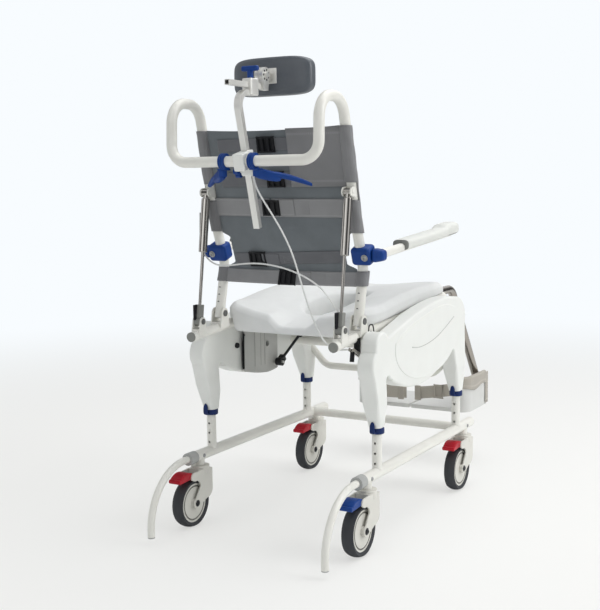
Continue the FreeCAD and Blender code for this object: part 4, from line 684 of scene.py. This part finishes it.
def box_stitch(name, x, z, width, height):
    """Sewn square with a cross in it: short threads that lie on the strap."""
    w, h = width / 2, height / 2
    runs = [((-w, -h), (w, -h)), ((w, -h), (w, h)), ((w, h), (-w, h)), ((-w, h), (-w, -h)),
            ((-w, -h), (w, h)), ((-w, h), (w, -h))]
    pitch, half_long, half_thick = 4, 1.4, 0.35
    blocks = []
    for a, b in np.array(runs):
        count = int(np.linalg.norm(b - a) / pitch)
        level = abs(b[0] - a[0]) > 1
        half_x, half_z = (half_long, half_thick) if level else (half_thick, half_long)
        for k in range(count):
            mid_x, mid_z = a + (b - a) * (k + 0.5) / count
            blocks.append((mid_x - half_x, mid_x + half_x, 0, 0.5, mid_z - half_z, mid_z + half_z))
    made = bars(name, blocks, LIGHT_STRAP, "backrest", "strap_webbing", 0.1)
    return lean_to_sling(made, x, z, STITCH_LIES)


web = sling_web()
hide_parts("back_sling")
sleeves = [sling_sleeve("sleeve_%s_%s" % (word, part), side, low, high, part == "upper")
           for word, side in SIDES
           for part, low, high in (("upper", 752, 999), ("lower", 625, 660))]
flap = webbing("sling_flap", -192, -50, 929, 929, 136, FLAP_LIES, FLAP_CLOTH, "sling_fabric")

# Each strap: left end x and z, right end x and z, height, buckle x, cloth
STRAPS = [(152, 962, -60, 962, 30, 7, DARK_STRAP), (155, 880, -66, 880, 36, -10, DARK_STRAP),
          (191, 814, -191, 810, 44, 15, LIGHT_STRAP), (152, 682, -156, 694, 30, 80, DARK_STRAP),
          (191, 640, -191, 640, 34, -4, LIGHT_STRAP)]
for number, (x1, z1, x2, z2, height, buckle_x, cloth) in enumerate(STRAPS):
    share = (x1 - buckle_x) / (x1 - x2)
    buckle_z = z1 + (z2 - z1) * share
    near = webbing("strap_left_%d" % number, x1, buckle_x + 4, z1, buckle_z, height, STRAP_LIES, cloth)
    webbing("strap_right_%d" % number, buckle_x - 2, x2, buckle_z, z2, height, STRAP_LIES, cloth)
    strap_buckle("buckle_%d" % number, buckle_x, buckle_z)
    if number > 1:
        tail_x = buckle_x - 62
        webbing("strap_tail_%d" % number, buckle_x - 12, tail_x, buckle_z, buckle_z, height - 4, TAIL_LIES,
                cloth)
        box_stitch("stitch_%d" % number, tail_x - 26, buckle_z, 26, height - 14)
    if number == 0:
        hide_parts("sling_straps")


# Arm pads: a skin over the tube, raised in a round nose at the front

PAD_X, PAD_REAR, PAD_FRONT = 241, 190, -152
# Forward of this, the nose's underside takes painted shade
NOSE_SHADE_END = -70


def arm_pad(word, side):
    """Rounded sections along the arm; the crown steps up over the nose and both ends close in."""
    t = np.concatenate([np.linspace(0, 0.02, 8)[:-1], np.linspace(0.02, 0.9, 70),
                        np.linspace(0.9, 1, 40)[1:]])[:, None]
    turn = once_round(48)[None, :]
    y = PAD_REAR + (PAD_FRONT - PAD_REAR) * t
    line = ARM_PIVOT_Z + (ARM_PIVOT_Y - y) * ARM_SLOPE
    rear_close = np.sqrt(np.clip(1 - np.clip(1 - t / 0.015, 0, 1) ** 2, 0, 1))
    nose_close = np.sqrt(np.clip(1 - np.clip((t - 0.91) / 0.09, 0, 1) ** 2, 0, 1))
    nose = smoothstep((t - 0.70) / 0.08)
    half = (22 + 3 * smoothstep(t / 0.1)) * (0.94 + 0.06 * rear_close) * (0.45 + 0.55 * nose_close)
    top = line + 20 + 8.5 * nose - 17 * (1 - nose_close) - 2 * (1 - rear_close)
    low = line - 6 + 6 * (1 - nose_close)
    x = side * PAD_X + half * power(np.cos(turn), 0.62)
    z = (top + low) / 2 + (top - low) / 2 * power(np.sin(turn), 0.62)
    points = np.stack([x, y + 0 * x, z], -1)
    made = outward(piece_mesh(word + "_pad", points, tube_faces(*x.shape), ARM_SKIN, word + "_arm",
                              "soft_seat"))
    # Grey at the pad's rear end, and painted shade on the nose's underside, where the open shell's inside
    # lies in shade.
    made.data.materials.append(GREY_PLASTIC)
    count = len(made.data.polygons)
    centre, facing = np.zeros(count * 3), np.zeros(count * 3)
    made.data.polygons.foreach_get("center", centre)
    made.data.polygons.foreach_get("normal", facing)
    along, down = centre.reshape(-1, 3)[:, 1] / MM, facing.reshape(-1, 3)[:, 2]
    grey_end_and_nose_shade = (along > PAD_REAR - 1.2) | ((along < NOSE_SHADE_END) & (down < -0.55))
    made.data.polygons.foreach_set("material_index", grey_end_and_nose_shade.astype(int))
    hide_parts(word + "_arm_pad")


for word, side in SIDES:
    arm_pad(word, side)


# Headrest pad: a rounded block bent round the head

def head_pad():
    """A ball pulled towards a box, bent forward by the square of the distance from its middle."""
    half_wide, half_tall, half_deep, bend = 107, 45, 21, 9
    along, across, up = block_grid(49, 96, 0.5, 0.32, 0.42)
    points = np.stack([half_wide * across, 388 + half_deep * along - across ** 2 * bend,
                       HEAD_Z + half_tall * up], -1)
    made = outward(piece_mesh("head_cushion", points, grid_faces(*up.shape, wrap_columns=True), HEAD_SKIN,
                              "headrest", "headrest_grey"))
    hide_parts("headrest_pad")


head_pad()


# Heel straps: a band behind each heel, and one round the plate's wall

def upright_band(name, x, y, z, height, body):
    """Webbing on edge along a plan line, rounded a little over its width."""
    over = np.linspace(-1, 1, 9)[:, None]
    run = np.concatenate([[0], np.cumsum(np.hypot(np.diff(x), np.diff(y)))])
    points = np.stack([x + 0 * over, y + 0.6 * (1 - over * over), z + over * height / 2], -1)
    uv = np.stack([run * MM + 0 * over, over + 0 * run], -1)
    made = piece_mesh(name, points, grid_faces(9, len(x)), BEIGE_CLOTH, body, "beige_webbing", uv=uv)
    return thicken(made, 2.2)


def wall_cover(word, side):
    """Cloth folded over the top of the plate's wall: an arch section swept round the rear corner."""
    corner_x, corner_y, corner_r = 154, -444, 34
    outside, inside, base, crown = 2.6, -9.6, 240, 274
    bend = np.linspace(0, np.pi / 2, 18)
    plan_x = np.concatenate([[150], corner_x + corner_r * np.sin(bend), np.full(30, corner_x + corner_r)])
    plan_y = np.concatenate([[-410], corner_y + corner_r * np.cos(bend), np.linspace(-450, -566, 30)])
    turn = np.concatenate([[0], bend, np.full(30, np.pi / 2)])[:, None]
    arch = np.linspace(0, np.pi, 13)
    fold = outside - (outside - inside) / 2 * (1 - np.cos(arch))
    across = np.concatenate([np.full(12, outside), fold, np.full(12, inside)])
    wall = np.linspace(base, crown, 12)
    height = np.concatenate([wall, crown + 6 * np.sin(arch), wall[::-1]])
    wave = 5 * np.sin(np.linspace(0, 3 * np.pi, len(plan_x)))[:, None]
    x = side * (plan_x[:, None] + np.sin(turn) * across)
    y = plan_y[:, None] + np.cos(turn) * across
    z = height + wave * np.clip((crown - height) / (crown - base), 0, 1)
    uv = np.stack([np.linspace(0, 0.2, len(x))[:, None] + 0 * x, np.linspace(-1, 1, len(across)) + 0 * x], -1)
    made = piece_mesh(word + "_wall_cover", np.stack([x, y, z], -1), grid_faces(*x.shape), BEIGE_CLOTH,
                      word + "_footplate", "beige_webbing", uv=uv)
    return thicken(outward(made), 1.8)


def heel_strap(word, side, rise, bow):
    """Band behind the heel from the inner keeper to the wall, its keeper loop, its buckle and the front band.

    The band bows back by a parabola and climbs evenly; t runs from -1 to 1 along it.
    """
    body = word + "_footplate"

    def band_line(t):
        """Place on the band's middle line."""
        return side * (82 + 68 * t), -416 + bow * (1 - t * t), 220 + rise * (t + 1) / 2

    band = upright_band(word + "_heel_band", *band_line(np.linspace(-1, 1, 60)), 38, body)
    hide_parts(word + "_heel_strap")
    wall_cover(word, side)
    w, h = 15, 21
    loop = [(-w, 4 - w, 0, 4, -h, h), (w - 4, w, 0, 4, -h, h), (-w, w, 0, 4, h - 4, h),
            (-w, w, 0, 4, -h, 4 - h)]
    for name, t, blocks in (("keeper", -0.80, [(-10, 10, 0, 3.5, -23, 23)]), ("buckle", 0.25, loop)):
        x, y, z = band_line(t)
        fitting = bars(word + "_heel_" + name, blocks, BEIGE_CLOTH, body, "beige_webbing", 1.2)
        fitting.data.transform(Matrix.Translation((x * MM, (y + 3.6) * MM, z * MM)))
    front_y = np.linspace(-560, -582, 24)
    upright_band(word + "_front_band", side * 190.2 + 0 * front_y, front_y, 226 + 0 * front_y, 98, body)


heel_strap("left", 1, 4, 20)
heel_strap("right", -1, 22, 12)


# Small fittings; a turned profile is a list of (radius, height)

BOLT = [(8.5, 0), (8.5, 1.2), (5.6, 1.2), (5.2, 3.4), (3.0, 3.4), (3.0, 1.6)]
RAIL_BOLT = [(5, -1), (5, 1.4), (3.6, 2.4)]
JOINT_BOLT = [(5, -1), (5, 1.6), (4.2, 2.6), (2.4, 2.6), (2.2, 1.2)]
PANEL_STOP = [(7.5, -1), (7.5, 6), (6, 9), (3, 9.6)]
TIP_CAP = [(8.4, 0), (8.9, 1), (8.9, 6), (8.2, 7)]
TUBE_HOLE = [(2.9, 0), (2.7, 0.5)]
JOINT_DOT = [(2.6, -0.4), (2.4, 0.3)]
AXLE_HALF, RAIL_HALF, RAIL_BOLT_AHEAD = 21.5, 13.6, 45
HOLE_ROW = (572, 590, 608, 774, 786)
UPRIGHT_FACE = 12.2
PANEL_FACE = 263.6
PANEL_LINE = [(172, 461), (137, 455), (100, 455), (55, 459), (9, 467), (-30, 479), (-71, 493), (-108, 507)]
# Route of the painted shadow in the gap beside the tilt housing, as x, y and z
HOUSING_GAP_SHADOW = [(203, 218, 472), (208, 214, 458), (212, 210.5, 441), (213, 209.5, 416), (212.4, 210.5, 393),
                (210, 212, 376)]
HOUSING_SEAMS = ((179.6, 202.6), (176.2, 178), (173.6, 162))

for word, side in SIDES:
    for end, hub_y in HUB_Y:
        corner = word + "_" + end
        for way in (1, -1):
            turned_part("axle_bolt_%s_%d" % (corner, way + 1), BOLT,
                        (side * RAIL_X + way * AXLE_HALF, hub_y, HUB_Z), (way, 0, 0),
                        NITRIDED, corner + "_fork", "polished_steel")
            turned_part("rail_bolt_%s_%d" % (corner, way + 1), RAIL_BOLT,
                        (side * RAIL_X + way * RAIL_HALF, hub_y - RAIL_BOLT_AHEAD, RAIL_Z), (way, 0, 0),
                        STEEL, "base", "polished_steel")
    for number, z in enumerate(HOLE_ROW):
        turned_part("tube_hole_%s_%d" % (word, number), TUBE_HOLE,
                    (side * UPRIGHT_X, float(back_y(z)) + UPRIGHT_FACE, z), (0, 1, -0.1),
                    HOLE_DARK, "backrest", "black_moulding", 16)
    turned_part("clamp_bolt_" + word, BOLT, (side * 216, 340.4, 693.2), (0, 0.944, -0.33), STEEL, "backrest",
                "polished_steel")
    turned_part("tip_" + word, TIP_CAP, (side * RAIL_X, 593, 17), (0, 0, 1), COLLAR_GREY, "base",
                "pale_grey_moulding")
    # Painted shade: a thin grey line along the groove in each side panel.
    line_tube("panel_line_" + word, nurbs_line([(side * PANEL_FACE, y, z) for y, z in PANEL_LINE]), 0.9,
              CREASE_SHADE, "upper_frame", "white_moulding")
for word, x in (("left", 200), ("right", -196)):
    bars("release_head_" + word, [(x, x + 6.6, 432, 444, 536, ROD_HEAD_TOP)], BLACK, word + "_recline_rod",
         "black_moulding", 1.6)
# Painted shadow: a black line down the gap between the tilt housing and the side panel.
line_tube("housing_gap_painted_shadow", nurbs_line(HOUSING_GAP_SHADOW), 3.2, BLACK, "seat_unit", "black_moulding")
for number, (x, y) in enumerate(HOUSING_SEAMS):
    seam = np.array([(x, y, z) for z in np.linspace(384, 486, 12)])
    line_tube("housing_seam_%d" % number, seam, 0.55, GREY_PLASTIC, "seat_unit", "pale_grey_moulding")
turned_part("panel_stop", PANEL_STOP, (219.7, 234, 443), (-1, 0, 0), BLACK, "upper_frame", "black_moulding")


def arm_hub(word, side):
    """Round-cornered block on the arm's pivot that narrows outwards."""
    along, across, up = block_grid(25, 48, 0.4, 0.4, 0.55)
    narrow = 1 - 0.16 * (along + 1)
    points = np.stack([side * (245 + 14.5 * along), 317 + 19 * narrow * across, 699 + 18 * narrow * up], -1)
    outward(piece_mesh("arm_hub_" + word, points, grid_faces(*up.shape, wrap_columns=True), BLUE,
                       word + "_arm", "blue_moulding"))


for word, side in SIDES:
    arm_hub(word, side)


# Height clips on the legs, and the levers' bodies and rings

CLIP_Z, CLIP_HALF_TALL, CLIP_R, CLIP_HALF_WALL = 280.5, 7.5, 15.6, 2.4
# The hook's line behind its leg, as y from the leg and z
HOOK = [(13, 277), (21, 276), (26, 279), (26, 292), (25, 305)]
HOOK_HALF_WIDE, HOOK_HALF_THICK = 6.6, 2.6


def height_clip(name, x, y):
    """Round ring below a leg cover with a thumb hook that bends up behind it; sections are superellipses."""
    turn = once_round(64)[:, None]
    lap = once_round(24)[None, :]
    reach = CLIP_R + CLIP_HALF_WALL * power(np.cos(lap), 0.5)
    ring_z = CLIP_Z + CLIP_HALF_TALL * power(np.sin(lap), 0.5) + 0 * turn
    ring = np.stack([x + reach * np.cos(turn), y + reach * np.sin(turn), ring_z], -1)
    made = outward(piece_mesh(name + "_ring", ring, grid_faces(*ring_z.shape, True, True), NAVY,
                              "upper_frame", "blue_moulding"))
    line = nurbs_line([(x, y + behind, z) for behind, z in HOOK])
    share = np.linspace(0, 1, len(line))[:, None, None]
    close = np.sqrt(np.clip(1 - np.clip((share - 0.8) / 0.2, 0, 0.98) ** 2, 0, 1))
    across = np.array([1.0, 0, 0])
    up = np.cross(headings(line), across)[:, None, :]
    hook = (line[:, None, :] + HOOK_HALF_WIDE * close * power(np.cos(lap), 0.6)[..., None] * across
            + HOOK_HALF_THICK * close * power(np.sin(lap), 0.8)[..., None] * up)
    outward(piece_mesh(name + "_hook", hook, tube_faces(*hook.shape[:2]), NAVY, "upper_frame",
                       "blue_moulding"))
    return made


clips = [height_clip("height_clip_%d" % number, x, y)
         for number, (x, y) in enumerate(((RAIL_X, 326), (-RAIL_X, 326), (RAIL_X, -184), (-RAIL_X, -184)))]
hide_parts("height_lock_clips")


def lever_body(word, pivot, tip):
    """Housing at the root of a lever: a rounded block along the lever that narrows towards the blade."""
    ahead, half_long, half_wide, half_tall = 26, 30, 10.5, 13
    pivot, tip = np.array(pivot, float), np.array(tip, float)
    lever = (tip - pivot) / np.linalg.norm(tip - pivot)
    level = np.cross(lever, [0, 0, 1])
    level /= np.linalg.norm(level)
    upright = np.cross(level, lever)
    along, across, up = (part[..., None] for part in block_grid(33, 32, 0.55, 0.55, 0.6))
    narrow = 1 - 0.22 * (along + 1) / 2
    points = (pivot + (ahead + half_long * along) * lever + half_wide * narrow * across * level
              + half_tall * narrow * up * upright)
    outward(piece_mesh("lever_body_" + word, points, grid_faces(33, 32, wrap_columns=True), BLUE,
                       word + "_lever", "blue_moulding"))


def ring_bead(name, x):
    """Raised rib round a lever's ring clamp: a small circle carried round a large one."""
    ring_y, ring_z, ring_r, bead_r = 526, 921, 18, 1.3
    turn = once_round(64)[:, None]
    lap = once_round(12)[None, :]
    reach = ring_r + bead_r * np.cos(lap)
    points = np.stack([x + bead_r * np.sin(lap) + 0 * turn, ring_y + reach * np.cos(turn),
                       ring_z + reach * np.sin(turn)], -1)
    outward(piece_mesh(name, points, grid_faces(64, 12, True, True), BLUE, "backrest", "blue_moulding"))


lever_body("left", (57, 522, 894), (137, 459, 866))
lever_body("right", (-37, 522, 894), (-144, 459, 866))
for number, x in enumerate((44, 49.5, 55, -24, -29.5, -35)):
    ring_bead("ring_bead_%d" % number, x)


# Dots and bolt on the headrest's joint

JOINT_FACE, JOINT_Y, DOT_RING = -12, 436, 11.5
for number, angle in enumerate(once_round(7)):
    spot = (JOINT_FACE, JOINT_Y + DOT_RING * math.cos(angle), HEAD_Z + DOT_RING * math.sin(angle))
    turned_part("joint_dot_%d" % number, JOINT_DOT, spot, (-1, 0, 0), HOLE_DARK, "headrest_arm",
                "black_moulding", 14)
turned_part("joint_bolt", JOINT_BOLT, (JOINT_FACE, JOINT_Y, HEAD_Z), (-1, 0, 0), STEEL, "headrest_arm",
            "polished_steel")


# Stage and light

BACKDROP = "#F8FCFF"


def studio_paper():
    """Pale floor that fades into the white backdrop with distance, for the camera only."""
    paper, tree, bsdf, place = finish_material("studio_paper", "#F4F4F2", 0.85)
    grain(tree, bsdf, place, 3.0, 0.05)
    away = add(tree, "ShaderNodeVectorMath", [(place, 0)], operation="LENGTH")
    far = add(tree, "ShaderNodeMapRange", [(away.outputs["Value"], "Value")], interpolation_type="SMOOTHSTEP",
              in_From_Min=1.0, in_From_Max=4.2)
    share = add(tree, "ShaderNodeMapRange", [(far.outputs[0], "Value")], in_To_Min=0.62)
    path = add(tree, "ShaderNodeLightPath")
    seen = add(tree, "ShaderNodeMath", [(share.outputs[0], 0), (path.outputs["Is Camera Ray"], 1)],
               operation="MULTIPLY")
    tone = add(tree, "ShaderNodeMix", [(far.outputs[0], 0)], data_type="RGBA", in_6=linear("#F3F3F1"),
               in_7=linear(BACKDROP))
    glow = add(tree, "ShaderNodeEmission", [(tone.outputs[2], "Color")])
    both = add(tree, "ShaderNodeMixShader", [(seen.outputs[0], 0), (bsdf.outputs[0], 1),
                                             (glow.outputs[0], 2)])
    tree.links.new(both.outputs[0], tree.nodes["Material Output"].inputs["Surface"])
    return paper


FLOOR_HALF = 9000
corners = [(FLOOR_HALF * x, FLOOR_HALF * y, 0) for x, y in ((-1, -1), (1, -1), (1, 1), (-1, 1))]
floor = piece_mesh("studio_floor", corners, [range(4)], studio_paper(), smooth=False)


def studio_world():
    """White to the camera, soft grey to surfaces, and light and dark cards round about for bright metal."""
    world = bpy.data.worlds.new("studio")
    bpy.context.scene.world = world
    world.use_nodes = True
    tree = world.node_tree
    tree.nodes.clear()
    path = add(tree, "ShaderNodeLightPath")
    place = add(tree, "ShaderNodeTexCoord")
    parts = add(tree, "ShaderNodeSeparateXYZ", [(place.outputs["Generated"], 0)])
    bearing = add(tree, "ShaderNodeMath", [(parts.outputs["Y"], 0), (parts.outputs["X"], 1)],
                  operation="ARCTAN2")
    turn = add(tree, "ShaderNodeMath", [(bearing.outputs[0], 0)], operation="MULTIPLY_ADD", in_1=4.0,
               in_2=0.8)
    beat = add(tree, "ShaderNodeMath", [(turn.outputs[0], 0)], operation="SINE")
    cards = add(tree, "ShaderNodeMapRange", [(beat.outputs[0], "Value")], interpolation_type="SMOOTHSTEP",
                in_From_Min=-0.4, in_From_Max=0.6, in_To_Min=0.10, in_To_Max=0.90)
    ambient = add(tree, "ShaderNodeBackground", in_Color=(0.95, 0.98, 1.0, 1.0), in_Strength=0.48)
    mirror = add(tree, "ShaderNodeBackground", [(cards.outputs[0], "Strength")],
                 in_Color=(0.97, 0.98, 1.0, 1.0))
    white = add(tree, "ShaderNodeBackground", in_Color=linear(BACKDROP), in_Strength=1.0)
    glossy = add(tree, "ShaderNodeMixShader", [(path.outputs["Is Glossy Ray"], 0), (ambient.outputs[0], 1),
                                               (mirror.outputs[0], 2)])
    both = add(tree, "ShaderNodeMixShader", [(path.outputs["Is Camera Ray"], 0), (glossy.outputs[0], 1),
                                             (white.outputs[0], 2)])
    add(tree, "ShaderNodeOutputWorld", [(both.outputs[0], "Surface")])


studio_world()


def area_light(name, place, target, size, power_watts):
    """Square soft light that faces its target; places and size in metres."""
    light = bpy.data.lights.new(name, "AREA")
    light.size = size
    light.energy = power_watts
    made = bpy.data.objects.new(name, light)
    way = Vector(target) - Vector(place)
    made.matrix_world = Matrix.Translation(place) @ way.to_track_quat("-Z", "Y").to_matrix().to_4x4()
    bpy.context.scene.collection.objects.link(made)


area_light("key", (-3.4, -0.7, 2.4), (0, 0, 0.5), 2.0, 62)
area_light("fill", (0.6, 3.6, 2.4), (0, 0, 0.8), 2.6, 18)
area_light("top", (-0.6, -0.6, 3.6), (0, 0, 0.4), 2.6, 62)
bpy.context.scene.view_settings.view_transform = "Standard"
